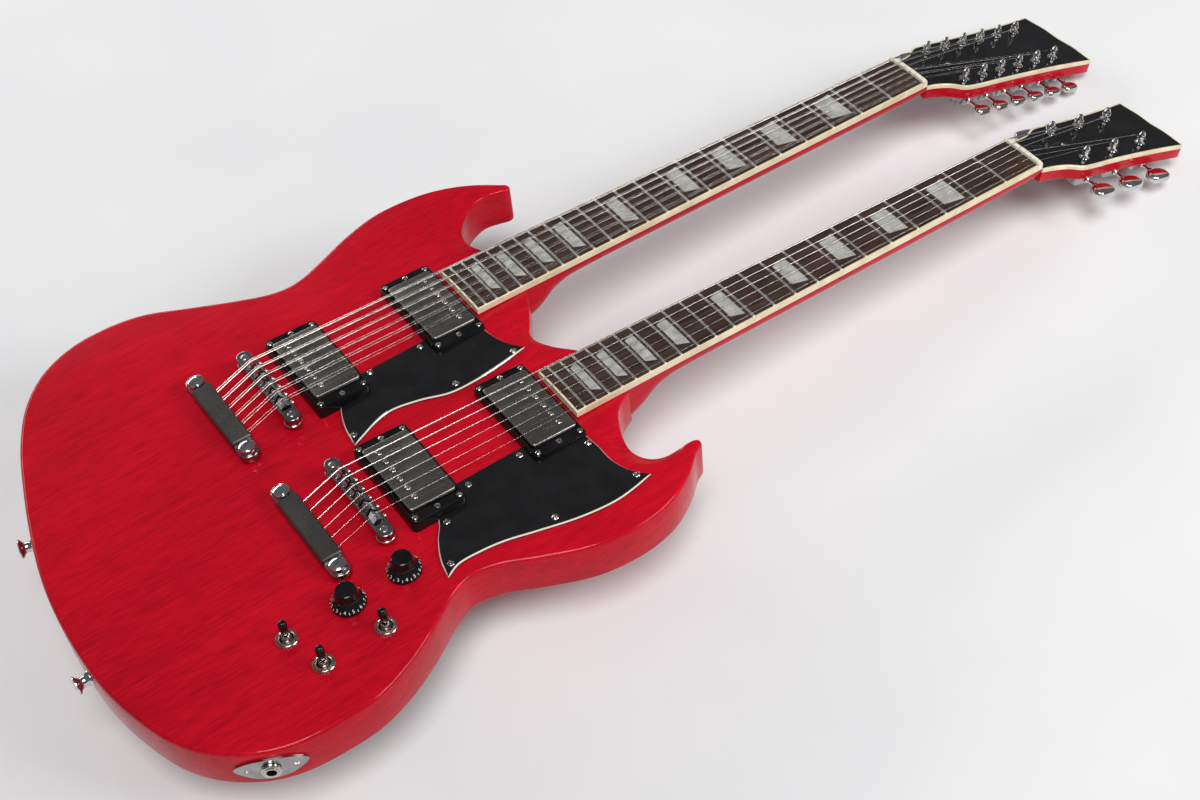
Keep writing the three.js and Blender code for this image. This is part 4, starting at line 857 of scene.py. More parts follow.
EDGE = 1.5
for tag, neck in NECKS.items():
    wood = strip(neck, EDGE, BOARD, lambda h: EDGE - h, lambda h: h - EDGE)
    piece(
        f"board_{tag}", joined([wood]), ROSEWOOD, neck["plane"], stands_for=[f"fingerboard_{tag}"],
        kind="rosewood")
    frame_strips = [
        strip(neck, 0, BOARD, lambda h: -h, lambda h: EDGE - h, lift=0.02),
        strip(neck, 0, BOARD, lambda h: h - EDGE, lambda h: h, lift=0.02),
        stack(
            [
                crowned(x, -half_width(neck, 0) + EDGE, half_width(neck, 0) - EDGE, -BOARD_THICK, 0.02)
                for x in (0, EDGE)])]
    piece(f"board_edge_{tag}", joined(frame_strips), CREAM, neck["plane"], kind="ivory_nut")
    pearls = [inlay(neck, k) for k in (3, 5, 7, 9, 12, 15, 17, 19, 21)]
    piece(f"inlays_{tag}", joined(pearls), PEARL, neck["plane"], kind="ivory_nut")
print("boards ready")

# %% Frets by their rule
def fret_tree():
    sizes = {
        "String Length": SCALE, "Nut Place": BOARD, "Width At Body": 56, "Width At Nut": 45.5,
        "Edge": EDGE, "Wire Width": 2.2, "Wire Height": 1.1, "Crown Radius": CROWN}
    group, start, end = node_group(
        "frets_by_rule", "Geometry",
        [("Marks", "Geometry"), *((label, "Float", value) for label, value in sizes.items()),
         ("Count", "Int", FRETS), ("Finish", "Material")],
        [("Frets", "Geometry")])
    link = group.links.new

    def sum_of(operation, a, b):
        made = add(group, "ShaderNodeMath", operation=operation)
        for socket, value in zip(made.inputs, (a, b)):
            if isinstance(value, (int, float)):
                socket.default_value = value
            else:
                link(value, socket)
        return made.outputs[0]

    line = add(group, "GeometryNodeMeshLine", {"Offset": (0, 0, 0)})
    wired(group, (start, "Count", line, "Count"))
    number = sum_of("ADD", group.nodes.new("GeometryNodeInputIndex").outputs[0], 1)
    left = sum_of("POWER", 2, sum_of("DIVIDE", sum_of("MULTIPLY", number, -1), 12))
    body_side = sum_of("MULTIPLY", start.outputs["String Length"], left)
    place = sum_of(
        "SUBTRACT", sum_of("ADD", start.outputs["Nut Place"], body_side), start.outputs["String Length"])
    spot = add(group, "ShaderNodeCombineXYZ")
    link(place, spot.inputs["X"])
    move = add(group, "GeometryNodeSetPosition")
    wired(group, (line, "Mesh", move, "Geometry"), (spot, "Vector", move, "Position"))
    taper = sum_of(
        "DIVIDE", sum_of("SUBTRACT", start.outputs["Width At Nut"], start.outputs["Width At Body"]),
        start.outputs["Nut Place"])
    width = sum_of("ADD", start.outputs["Width At Body"], sum_of("MULTIPLY", taper, place))
    half = sum_of("SUBTRACT", sum_of("DIVIDE", width, 2), start.outputs["Edge"])
    bar = add(
        group, "GeometryNodeMeshCylinder", {"Vertices": 20, "Side Segments": 12, "Radius": 1, "Depth": 2})
    lay = add(group, "GeometryNodeTransform", {"Rotation": (math.pi / 2, 0, 0)})
    wired(group, (bar, "Mesh", lay, "Geometry"))
    scale = add(group, "ShaderNodeCombineXYZ")
    link(sum_of("DIVIDE", start.outputs["Wire Width"], 2), scale.inputs["X"])
    link(half, scale.inputs["Y"])
    spots = add(group, "GeometryNodeInstanceOnPoints")
    whole = add(group, "GeometryNodeRealizeInstances")
    wired(
        group, (start, "Wire Height", scale, "Z"), (move, "Geometry", spots, "Points"),
        (lay, "Geometry", spots, "Instance"), (scale, "Vector", spots, "Scale"),
        (spots, "Instances", whole, "Geometry"))
    at = group.nodes.new("ShaderNodeSeparateXYZ")
    link(group.nodes.new("GeometryNodeInputPosition").outputs[0], at.inputs[0])
    sag = sum_of(
        "DIVIDE", sum_of("MULTIPLY", at.outputs["Y"], at.outputs["Y"]),
        sum_of("MULTIPLY", start.outputs["Crown Radius"], -2))
    drop = add(group, "ShaderNodeCombineXYZ")
    link(sag, drop.inputs["Z"])
    bend = add(group, "GeometryNodeSetPosition")
    dress = add(group, "GeometryNodeSetMaterial")
    wired(
        group, (whole, "Geometry", bend, "Geometry"), (drop, "Vector", bend, "Offset"),
        (bend, "Geometry", dress, "Geometry"), (start, "Finish", dress, "Material"),
        (dress, "Geometry", end, "Frets"))
    return group

FRET_TREE = fret_tree()
print("fret tree:", len(FRET_TREE.nodes), "nodes")

# %% Frets on both boards
for tag, neck in NECKS.items():
    widths = {"Width At Body": neck["end"] * 1.0, "Width At Nut": neck["nut"] * 1.0}
    mesh = with_tree(bpy.data.meshes.new("marks"), FRET_TREE, {**widths, "Count": FRETS, "Finish": FRET})
    frets = piece(f"frets_{tag}", mesh, FRET, neck["plane"], kind="string_steel", angle=50)
    print(frets.name, len(frets.data.polygons), "faces")

# %% [markdown]
# ## Strings
# A string is a fixed line: ball end in the tailpiece, over its saddle, over the nut
# and round its post. Twelve strings run in six pairs. A curve with its own radius
# for each string is turned into wire by one node tree.

# %% Routes of the strings
def string_list(neck):
    found, last = [], len(neck["gauges"]) - 1
    for course, pair in enumerate(neck["gauges"]):
        share = 0.5 - course / last
        for k, wire in enumerate(pair):
            shift = 0.5 - k if len(pair) > 1 else 0
            at_nut, at_bridge = (
                share * neck[key] + shift * apart
                for key, apart in zip(("at_nut", "at_bridge"), neck["pair"]))
            found.append(dict(wire=wire, at_nut=at_nut, at_bridge=at_bridge))
    half = len(found) // 2
    for i, string in enumerate(found):
        string["sign"] = 1 if i < half else -1
        string["post"] = i if i < half else len(found) - 1 - i
    return found

def post_spot(neck, sign, i):
    return Vector((neck["first"] + i * neck["pitch"], sign * neck["offset"]))

def winding(neck, string, start, turns=2.25, steps=20, top=6.5):
    """Turns round the post, each lower than the one before."""
    post = post_spot(neck, string["sign"], string["post"])
    radius = neck["post"] + 0.25 + string["wire"] / 2
    reach = post - start.to_2d()
    lean = math.asin(radius / reach.length)
    run = math.sqrt(reach.length_squared - radius ** 2)
    tangent = reach.normalized()
    tangent.rotate(Matrix.Rotation(-string["sign"] * lean, 2))
    touch = start.to_2d() + tangent * run - post
    first = math.atan2(touch.y, touch.x)
    points = []
    for k in range(int(turns * steps) + 1):
        a = first + string["sign"] * FULL_TURN * k / steps
        height = top - (string["wire"] + 0.15) * k / steps
        points.append(Vector((post.x + radius * math.cos(a), post.y + radius * math.sin(a), height)))
    return points

SADDLE_LIFT, NUT_LIFT, TAIL_HOLE = 3, 1.5, 42.75

def string_route(neck, string):
    to_plane = neck["plane"].inverted() @ neck["base"]
    r = string["wire"] / 2
    tail = [to_plane @ Vector((x, string["at_bridge"], TAIL_HOLE)) for x in (-41.5, -31.7)]
    saddle = Vector((-BOARD_END, string["at_bridge"], SADDLE_LIFT + r + crown(string["at_bridge"])))
    nut = Vector((BOARD, string["at_nut"], NUT_LIFT + r + crown(string["at_nut"])))
    behind = nut + Vector((5, 0, 0))
    to_face = neck["face"].inverted() @ neck["plane"]
    from_face = to_face.inverted()
    coil = [from_face @ p for p in winding(neck, string, to_face @ behind)]
    return [*tail, saddle, nut, behind, *coil]

for tag, neck in NECKS.items():
    print("neck", tag, "has", len(string_list(neck)), "strings")

# %% Wire from curves
def wire_tree():
    group, start, end = node_group(
        "wire_from_curve", "Geometry",
        [("Line", "Geometry"), ("Sides", "Int", 10), ("Finish", "Material")], [("Wire", "Geometry")])
    ring = add(group, "GeometryNodeCurvePrimitiveCircle", {"Radius": 1})
    wire = add(group, "GeometryNodeCurveToMesh", {"Fill Caps": True})
    dress = add(group, "GeometryNodeSetMaterial")
    thickness = group.nodes.new("GeometryNodeInputRadius")
    wired(
        group, (start, "Line", wire, "Curve"), (start, "Sides", ring, "Resolution"),
        (ring, "Curve", wire, "Profile Curve"), (thickness, 0, wire, "Scale"),
        (wire, "Mesh", dress, "Geometry"), (start, "Finish", dress, "Material"),
        (dress, "Geometry", end, "Wire"))
    return group

WIRE_TREE = wire_tree()
print("wire tree:", len(WIRE_TREE.nodes), "nodes")

# %% Strings on both necks
for tag, neck in NECKS.items():
    lines = bpy.data.curves.new("lines", "CURVE")
    lines.dimensions = "3D"
    for string in string_list(neck):
        spline = lines.splines.new("POLY")
        route = string_route(neck, string)
        spline.points.add(len(route) - 1)
        for point, at in zip(spline.points, route):
            point.co = (*at, 1)
            point.radius = string["wire"] / 2
    mesh = with_tree(lines, WIRE_TREE, {"Finish": STEEL})
    wires = piece(
        f"string_set_{tag}", mesh, STEEL, neck["plane"], stands_for=[f"strings_{tag}"],
        kind="string_steel", angle=60)
    print(wires.name, len(wires.data.polygons), "faces")

# %% [markdown]
# ## Pickups
# A pickup is a bent metal cover with six screws in one row. It hangs in a black
# plastic ring whose foot follows the flat body while its top follows the strings,
# so one ring is lower than the other.

# %% Pickups
def merged(shapes):
    """Several closed shapes as one list of points and faces."""
    points, faces = [], []
    for shape_points, shape_faces in shapes:
        faces += [tuple(i + len(points) for i in face) for face in shape_faces]
        points += shape_points
    return points, faces

def course_places(neck):
    return [(0.5 - i / 5) * neck["at_bridge"] for i in range(6)]

COVER_HALF, POLE_ROW, PICKUP_DEEP = (19, 35), 9.5, 20.2

for tag, neck in NECKS.items():
    for name, spot in PICKUPS.items():
        row, node = spot["x"] + POLE_ROW * spot["poles"], f"pickup_{name}_{tag}"
        cover = joined([softened(around(spot["x"], COVER_HALF, 2.5), -PICKUP_DEEP, -1.2, 0, 1.3, 5)])
        cover = carved(
            cover, [merged([prism(circle(row, y, 2.6, 24), -1.9, 0) for y in course_places(neck)])])
        piece(f"cover_{name}_{tag}", cover, COVER, neck["plane"], node, [node], "pickup_cover", angle=40)
        spots = [(row, y, -1.0) for y in course_places(neck)]
        set_of(f"poles_{name}_{tag}", slotted(2.3, 0.5, 1.2, 0.6, 24), spots, NICKEL, neck["plane"], 3,
               body=node, kind="pickup_cover")
print("pickups ready")

# %% Rings with their screws
RING_HALF, RING_WINDOW = (22.25, 44.25), (19.5, 35.5)
RING_SCREWS = (18.1, 39.7)

def ring_top(spot):
    return BODY_THICK + GAP + spot["tall"] - (PLANE_HEIGHT - spot["x"] * math.sin(TILT))

def on_top_of_body(outline):
    """Points of the string plane's frame that lie on the flat of the body."""
    level = BODY_THICK + GAP - PLANE_HEIGHT
    return [Vector((p.x, p.y, (level + p.x * math.sin(TILT)) / math.cos(TILT))) for p in outline]

for tag, neck in NECKS.items():
    for name, spot in PICKUPS.items():
        x, top = spot["x"], ring_top(spot)
        outer, inner = around(x, RING_HALF, 4), around(x, RING_WINDOW, 2)
        slope = [
            at_height(drawn_in(outer, inset), top - drop)
            for inset, drop in ((0.35, 1.1), (0.7, 0.35), (1.3, 0))]
        lip = [at_height(drawn_in(inner, -0.4), top), at_height(inner, top - 0.4)]
        wall = joined([hoop([on_top_of_body(outer), *slope, *lip, on_top_of_body(inner)])])
        piece(f"ring_{name}_{tag}", wall, BLACK, neck["plane"], "guitar", [f"pickup_ring_{name}_{tag}"],
              "black_plastic", angle=28)
        corners = [(x + a * RING_SCREWS[0], b * RING_SCREWS[1], top + 0.05) for a in BOTH for b in BOTH]
        set_of(f"ring_screws_{name}_{tag}", [screw_shape(2.1, 0.8)], corners, NICKEL, neck["plane"], 1.5, 3,
               kind="chrome_parts")
        middles = [(x, b * RING_SCREWS[1], top + 0.05) for b in BOTH]
        set_of(
            f"height_screws_{name}_{tag}", slotted(2.3, 0.8, 1, 0.6, 24), middles, NICKEL, neck["plane"],
            3, 5, kind="chrome_parts")
print("rings ready")

# %% [markdown]
# ## Bridges and tailpieces
# Two posts carry the bridge on thumbwheels. Six saddles stand between its rails,
# each on a screw that sets its string's length. The tailpiece is a heavy bar whose
# ends step down to the studs, and the strings pass through it.

# %% Parts of a bridge
def milled(radius, sides, depth=0.25):
    """A circle with a shallow notch at every other point."""
    return [p * (1 - (k % 2) * depth / radius) for k, p in enumerate(circle(0, 0, radius, sides))]

def saddle(peak, way):
    profile = [
        (-3.9, 46.4), (3.9, 46.4), (3.9, 50.4), (0.9, peak), (-0.2, peak), (-1.4, peak - 2.4),
        (-3.9, 50.9)]
    return stack([[Vector((way * x, y, z)) for x, z in profile] for y in (-4.1, 4.1)])

BOLT = [(0, -5.6), (0.95, -5.6), (0.95, 6.3), (1.75, 6.3), (1.9, 6.6), (1.7, 7.4), (0, 7.5)]
WHEEL_RADIUS = 7
WHEEL_LEVELS = ((0.5, 40.7), (0, 41.1), (0, 42.7), (0.5, 43.1))  # inset, height
POST_TOP = 49.8
BUSHING_LOW = 18

# %% Bridges
STRING_HEIGHT = PLANE_HEIGHT + BOARD_END * math.sin(TILT) + SADDLE_LIFT * math.cos(TILT)
for tag, neck in NECKS.items():
    rail = joined([softened(rounded_box(-6, 6, -44, 44, 5.7, 8), 43.75, 49.75, 0.7, 1, 4)])
    rail = carved(rail, [prism(rounded_box(-4.2, 4.2, -31.4, 31.4, 0.8, 3), 46.2, 52)])
    base, metal = neck["base"], {"kind": "chrome_parts"}
    piece(f"bridge_body_{tag}", rail, CHROME_PAINTED_SHADE, base, stands_for=[f"bridge_{tag}"], angle=40, **metal)
    saddles = []
    for i, y in enumerate(course_places(neck)):
        peak = STRING_HEIGHT + crown(abs(y) + neck["pair"][1] / 2) - 0.3
        saddles.append(placed(saddle(peak, 1 if i < 3 else -1), moved(0, y, 0)))
    piece(f"saddles_{tag}", joined(saddles), CHROME, base, angle=20, **metal)
    bolt = placed(turned(BOLT, 14), turn(90, "Y"))
    set_of(f"saddle_bolts_{tag}", [bolt], [(0, y, 47.9) for y in course_places(neck)], NICKEL, base, **metal)
    wheel = stack([at_height(milled(WHEEL_RADIUS - inset, 64), z) for inset, z in WHEEL_LEVELS])
    post = turned([(0, BUSHING_LOW), (2.5, BUSHING_LOW), (2.5, POST_TOP), (0, POST_TOP)], 24)
    spots = [(0, s * POST_OUT, 0) for s in BOTH]
    set_of(f"bridge_posts_{tag}", [wheel, post], spots, NICKEL, base, **metal)
    spots = [(0, s * POST_OUT, POST_TOP) for s in BOTH]
    set_of(f"bridge_post_heads_{tag}", slotted(2.9, 0.5, 0.6, 0.8, 28), spots, NICKEL, base, 3, **metal)
print("bridges ready, strings at", round(STRING_HEIGHT, 2), "mm")

# %% Tailpieces
STUD = [(0, BUSHING_LOW), (4, BUSHING_LOW), (4, 36.4), (7, 36.4), (7, 37.3), (4.6, 37.6), (4.6, 44.4),
        (6.2, 44.5), (6.6, 45.2), (6.4, 46.2), (0, 46.4)]

for tag, neck in NECKS.items():
    base, metal = neck["base"], {"kind": "chrome_parts"}
    bar = softened(rounded_box(-48, -32, -34, 34, 1.5, 4), 37.5, 48, 2, 2.2, 6)
    bore = placed(prism(circle(0, 0, 1.5, 14), 0, 9), turn(-90, "Y"))
    holes = [placed(bore, moved(-31, y, TAIL_HOLE)) for y in course_places(neck)]
    bar = carved(joined([bar]), holes)
    # The bar's dark colour is painted shade on chrome.
    piece(f"tail_bar_{tag}", bar, TAIL_METAL_PAINTED_SHADE, base, stands_for=[f"tailpiece_{tag}"], angle=35, **metal)
    ends = [rounded_box(-47.7, -32.3, *sorted((s * 28, s * 50.5)), 7.2, 8) for s in BOTH]
    lugs = joined([softened(end, 37.7, 44.4, 1, 1.3, 4) for end in ends])
    lugs = carved(lugs, [prism(circle(STUD_BACK, s * STUD_OUT, 4.9, 24), 36, 46) for s in BOTH])
    piece(f"tail_lugs_{tag}", lugs, CHROME_PAINTED_SHADE, base, angle=35, **metal)
    spots = [(STUD_BACK, s * STUD_OUT, 0) for s in BOTH]
    set_of(f"studs_{tag}", [turned(STUD, 32)], spots, CHROME, base, **metal)
    spots = [(STUD_BACK, s * STUD_OUT, 46.3) for s in BOTH]
    set_of(f"stud_heads_{tag}", slotted(6.6, 2.7, 0.8, 1.6), spots, CHROME, base, 2.5, 2, **metal)
print("tailpieces ready")

# %% [markdown]
# ## Pickguards
# The guards are sawn from a sheet with a pale layer in the middle. The edge is
# bevelled, so that layer shows as a thin line all round. Its material is one ramp
# over the height, which is how a laminate works.

# %% Sheet with a pale middle
GUARD_LOW, GUARD_TOP = 36.3, 38.6

def laminate():
    material = finish(
        "black_laminate", (0.006, 0.006, 0.0065), (0.01, 0.01, 0.011), (0.1, 0.2), coat=0.3,
        specular=0.35, size=30)
    tree = material.node_tree
    shader = tree.nodes["Principled BSDF"]
    place = next(n for n in tree.nodes if n.bl_idname == "ShaderNodeTexCoord")
    height = tree.nodes.new("ShaderNodeSeparateXYZ")
    layer = tree.nodes.new("ShaderNodeValToRGB")
    layer.color_ramp.interpolation = "CONSTANT"
    layer.color_ramp.elements[1].position = 0.38
    layer.color_ramp.elements[1].color = (1, 1, 1, 1)
    layer.color_ramp.elements.new(0.8).color = (0, 0, 0, 1)
    span = add(tree, "ShaderNodeMapRange", {"From Min": GUARD_LOW * MM, "From Max": GUARD_TOP * MM})
    mix = add(tree, "ShaderNodeMix", data_type="RGBA")
    mix.inputs[7].default_value = (0.74, 0.7, 0.6, 1)
    black = shader.inputs["Base Color"].links[0].from_node
    wired(
        tree, (place, "Object", height, "Vector"), (height, "Z", span, "Value"),
        (span, "Result", layer, "Fac"), (layer, "Color", mix, 0), (black, "Color", mix, 6),
        (mix, 2, shader, "Base Color"))
    return material

LAMINATE = laminate()
print("laminate:", len(LAMINATE.node_tree.nodes), "nodes")

# %% Pickguards
# Edges in shares of the board's end and of a width, screws in millimetres
GUARDS = {
    "12": dict(
        wide=68,
        lower=[
            (0.15, -1.22), (0.2, -1.17), (0.29, -1.08), (0.38, -1.04), (0.51, -1.11), (0.64, -1.23),
            (0.79, -1.25), (0.93, -1.22), (1.05, -1.17)],
        right=[(1.05, -1.17), (1, -0.96), (0.975, -0.74), (0.97, -0.6)],
        left=[(0.25, -0.5), (0.2, -0.7), (0.165, -0.95), (0.15, -1.22)],
        screws=[(115, 40), (71, 41), (116, -10), (168, -9), (30, -6)]),
    "6": dict(
        wide=146,
        lower=[
            (0.1, -0.629), (0.17, -0.592), (0.27, -0.592), (0.38, -0.61), (0.52, -0.657), (0.7, -0.713),
            (0.86, -0.736), (0.96, -0.727), (1.065, -0.703)],
        right=[(1.065, -0.703), (1.005, -0.606), (0.98, -0.503), (0.98, -0.405), (0.97, -0.279)],
        left=[(0.25, -0.233), (0.21, -0.335), (0.165, -0.41), (0.12, -0.522), (0.1, -0.629)],
        screws=[(115, -99), (160, -120), (170, -166), (103, -162), (71, -99), (41, -118), (24, -151)])}
for tag, guard in GUARDS.items():
    def side_line(name):
        return smooth([Vector((x * BOARD_END, y * guard["wide"])) for x, y in guard[name]], 8)
    top_edge = [Vector((0.9 * BOARD_END, -24)), Vector((0.25 * BOARD_END, -24))]
    outline = side_line("lower") + side_line("right")[1:] + top_edge + side_line("left")[:-1]
    levels = ((0, GUARD_LOW), (0, 37.2), (1.15, GUARD_TOP))
    sheet = joined([stack([at_height(drawn_in(outline, inset), z) for inset, z in levels])])
    room = [side + GAP for side in RING_HALF]
    windows = [
        placed(prism(around(spot["x"], room, 4.3), -30, 20), turn(TILT_DEGREES, "Y"))
        for spot in PICKUPS.values()]
    windows = [placed(window, moved(BOARD_END, 0, PLANE_HEIGHT)) for window in windows]
    piece(
        f"guard_{tag}", carved(sheet, windows), LAMINATE, NECKS[tag]["base"],
        stands_for=[f"pickguard_{tag}"], kind="guard_black", angle=25)
    spots = [(x, y, GUARD_TOP + 0.05) for x, y in guard["screws"]]
    set_of(f"guard_screws_{tag}", [screw_shape(2.6, 1.1)], spots, NICKEL, random_turn=1.5, seed=11,
           kind="chrome_parts")
print("guards ready")

# %% [markdown]
# ## Controls
# The knobs are moulded bells with printed numbers, and the numbers are text made
# into thin meshes. Each short lever swings in a milled nut and has a black cap.

# %% Printed numbers
def lettered(text, size):
    """Flat text as a thin mesh, centred."""
    words = bpy.data.curves.new("words", "FONT")
    words.body, words.size, words.extrude = text, size, 0.03
    words.align_x, words.align_y = "CENTER", "CENTER"
    words.resolution_u = 2
    holder = new_object("words", words)
    mesh = bpy.data.meshes.new_from_object(holder.evaluated_get(bpy.context.evaluated_depsgraph_get()))
    bpy.data.objects.remove(holder)
    return mesh

def print_on_skirt(bm, mesh, degrees):
    """Lays a flat mark on the cone of the skirt, reading from outside."""
    slope = math.degrees(math.atan2(2, 3.1))
    on_cone = moved(11.6, 0, 40.75) @ turn(-slope, "Y") @ turn(90, "Z") @ turn(90, "X")
    mesh.transform(turn(degrees, "Z") @ on_cone)
    bm.from_mesh(mesh)
    bpy.data.meshes.remove(mesh)

print("number tools ready")

# %% Knobs
KNOB_PROFILE = [
    (0, 37.1), (12.3, 37.1), (12.5, 37.4), (12.5, 38.3), (12.15, 39.4), (11.5, 40.7), (10.6, 41.9),
    (9.6, 43.1), (8.7, 44.4), (8.1, 46), (7.7, 48.5), (7.5, 50.8), (7.2, 51.6), (6.6, 52), (5.6, 51.8),
    (0, 51.8)]
DIAL_STEP, DIAL_MARKS = 30, 11

for i, place in enumerate(KNOBS, 1):
    here = moved(place.x, place.y, 0)
    shaft = turned([(0, 22.5), (3, 22.5), (3, 37.3), (0, 37.3)], 24)
    bell = joined([turned(KNOB_PROFILE, 96), shaft])
    piece(f"bell_{i}", bell, BLACK, here, f"knob_{i}", [f"knob_{i}"], "black_plastic", angle=30)
    marks = bmesh.new()
    for k in range(DIAL_MARKS):
        angle = 90 + DIAL_STEP * k + 20 * i
        print_on_skirt(marks, lettered(str(k), 3.6), angle)
        line = cleaned(block(-0.2, 0.2, -1.7, 0, 0, 0.06, 0.05, 0.01))
        print_on_skirt(marks, line, angle + DIAL_STEP / 2)
    mesh = bpy.data.meshes.new("marks")
    marks.to_mesh(mesh)
    marks.free()
    piece(f"numbers_{i}", mesh, PALE, here, f"knob_{i}", (), "black_plastic")
print("knobs ready")

# %% Switches and levers
def round_hoop(profile, sides=48, milled_rings=0):
    """A turned hoop, whose first rings may be milled."""
    rings = [
        milled(r, sides) if k < milled_rings else circle(0, 0, r, sides)
        for k, (r, z) in enumerate(profile)]
    return hoop([at_height(ring, z) for ring, (r, z) in zip(rings, profile)])

NUT_PROFILE = [
    (8, 36.35), (8, 37.3), (7.5, 37.7), (7, 37.55), (6.8, 38.5), (6.3, 39.2), (5.6, 39.3), (5, 38.8),
    (4.5, 37.2), (4.4, 36.35)]
BUSHING = [
    (4.3, 36.35), (3.9, 38.2), (3.3, 40), (2.9, 41.3), (2.6, 41.6), (2.2, 41.4), (2.1, 39.6), (2.1, 36.35)
]
LEVER_TIP = [
    (0, 7.2), (2.45, 7.2), (2.8, 7.8), (2.95, 9.6), (3.2, 13.4), (3.1, 15.4), (2.6, 16.9), (1.6, 17.8),
    (0, 18)]
STICK = [(0, -1.9), (1.35, -1.35), (1.9, 0), (1.25, 1.5), (1.2, 4.2), (1.75, 4.5), (1.75, 6.3), (1.4, 6.6),
         (1.4, 7.4), (0, 7.4)]
SWING_HEIGHT = 38.2

for i, place in enumerate(TOGGLES, 1):
    case = block(-6, 6, -4.2, 4.2, 15.7, 27.7, 0.6, 0.3)
    sleeve = turned([(0, 21.7), (4.2, 21.7), (4.2, 35.9), (0, 35.9)], 24)
    seat = joined([round_hoop(NUT_PROFILE, 60, 2), round_hoop(BUSHING, 36), case, sleeve])
    piece(
        f"dress_nut_{i}", seat, NICKEL, moved(place.x, place.y, 0), "guitar", [f"switch_{i}"],
        "switch_nickel", angle=35)
    swing = moved(place.x, place.y, SWING_HEIGHT)
    stick = joined([turned(STICK, 24)])
    piece(f"stick_{i}", stick, CHROME, swing, f"lever_{i}", [f"lever_{i}"], "switch_nickel")
    piece(
        f"tip_{i}", joined([turned(LEVER_TIP, 28)]), BLACK, swing, f"lever_{i}", (), "black_plastic",
        angle=50)
print("switches ready")

# %% Jack plate
BOAT_HALF, PLATE_THICK = (25, 10.5), 1.6
BOAT = ((-1, 0), (-0.93, -0.26), (-0.5, -0.85), (0, -1), (0.5, -0.85), (0.93, -0.26), (1, 0))

def rim_band(distance):
    """The rim near the jack, moved out by a distance."""
    near = [i for i, p in enumerate(OUTLINE) if (p - JACK_RIM.translation.to_2d()).length < 40]
    out = []
    for i in near:
        along = (OUTLINE[(i + 1) % len(OUTLINE)] - OUTLINE[i - 1]).normalized()
        out.append(OUTLINE[i] + Vector((along.y, -along.x)) * distance)
    return out

boat = mirrored(smooth([Vector((a * BOAT_HALF[0], b * BOAT_HALF[1])) for a, b in BOAT], 8), 1)
band = joined([prism(rim_band(GAP) + list(reversed(rim_band(GAP + PLATE_THICK))), 2, BODY_THICK)])
plate = carved(band, [placed(softened(boat, -30, 30), JACK_RIM)], "INTERSECT")
plate = carved(plate, [placed(prism(circle(0, 0, 5.5, 32), -30, 30), JACK_RIM)])
piece("jack_boat", plate, CHROME_PAINTED_SHADE, stands_for=["jack_plate"], kind="chrome_parts", angle=25)
print("jack plate:", len(plate.polygons), "faces")

# %% Socket and strap buttons
SOCKET = [
    (6.8, 2.2), (6.8, 3.9), (6.3, 4.5), (5.3, 4.6), (5.1, 5.3), (4.3, 5.4), (3.5, 5), (3.5, -18),
    (4.6, -19.5), (8.9, -19.6), (9, -2), (5.2, -2), (5.2, 2.2)]
socket = joined([round_hoop(SOCKET, 48)])
piece("socket", socket, NICKEL, JACK_RIM, stands_for=["jack_socket"], kind="chrome_parts", angle=35)
seen = [JACK_RIM.inverted() @ p.to_3d() for p in OUTLINE]
heads = []
for s in BOTH:
    seat = min((p for p in seen if abs(p.z) < 8), key=lambda p: abs(p.x - s * 18))
    lean = math.degrees(math.atan2(-2 * seat.z, abs(seat.x)))
    rest = moved(seat.x, 0, seat.z + 1.85) @ turn(s * lean, "Y") @ turn(35 + 40 * s, "Z")
    heads.append(placed(screw_shape(2.2, 0.7), rest))
    print("screw seat", round(seat.x, 1), round(seat.z, 2), "leans", round(lean, 1))
piece("jack_screws", joined(heads), NICKEL, JACK_RIM, kind="chrome_parts")
BUTTON = [
    (0, -22), (2, -21), (2, 0.3), (6.2, 0.3), (6.1, 0.9), (5, 2.2), (4.2, 3.6), (4, 5.2), (4, 6.8),
    (4.4, 7.9), (5.6, 8.9), (6.8, 9.7), (7.2, 10.4), (7.1, 11), (6.5, 11.5), (3.2, 11.6), (2.9, 11.2),
    (0, 11.2)]
for rim, name in zip(STRAP_RIMS, ("upper", "lower")):
    button = joined([turned(BUTTON, 48), placed(screw_shape(2.6, 0.7, 2, 10, 48), moved(0, 0, 11.25))])
    piece(
        f"strap_{name}", button, CHROME, rim, stands_for=[f"strap_button_{name}"], kind="chrome_parts",
        angle=35)
print("socket and strap buttons ready")

# %% [markdown]
# ## Tuners
# A post turns in a sleeve through the head, and a worm under the head turns it. The
# posts, washers and housings of one side are set on their marks by the layout
# tree. Every key is a piece by itself, because every key turns.

# %% Posts and housings
def post_shape(neck):
    r = neck["post"]
    return turned(
        [
            (0, -14), (3.4, -14), (3.4, 0.1), (4.5, 0.1), (4.5, 0.7), (4.1, 1.1), (3.6, 1.3), (3.5, 1.9),
            (r + 0.15, 2.4), (r, 3), (r - 0.2, 4), (r - 0.3, 6.6), (r - 0.1, 7.6), (r, 8.3),
            (r - 0.15, 9), (r - 0.7, 9.6), (r - 0.9, 10.6), (r - 1.2, 11.3), (0, 11.5)],
        28)

def housing_shape(neck):
    half = neck["housing"] / 2
    return [softened(rounded_box(3 - half, 3 + half, -6.5, 6.5, 3, 5), -23.8, -13.4, 2, 0.3, 4),
            placed(screw_shape(2, 0.5, 1), moved(0, 0, -23.7) @ turn(180, "X"))]

print("tuner shapes ready")

# %% Tuners of both heads
BANKS = (("bass", 1), ("treble", -1))

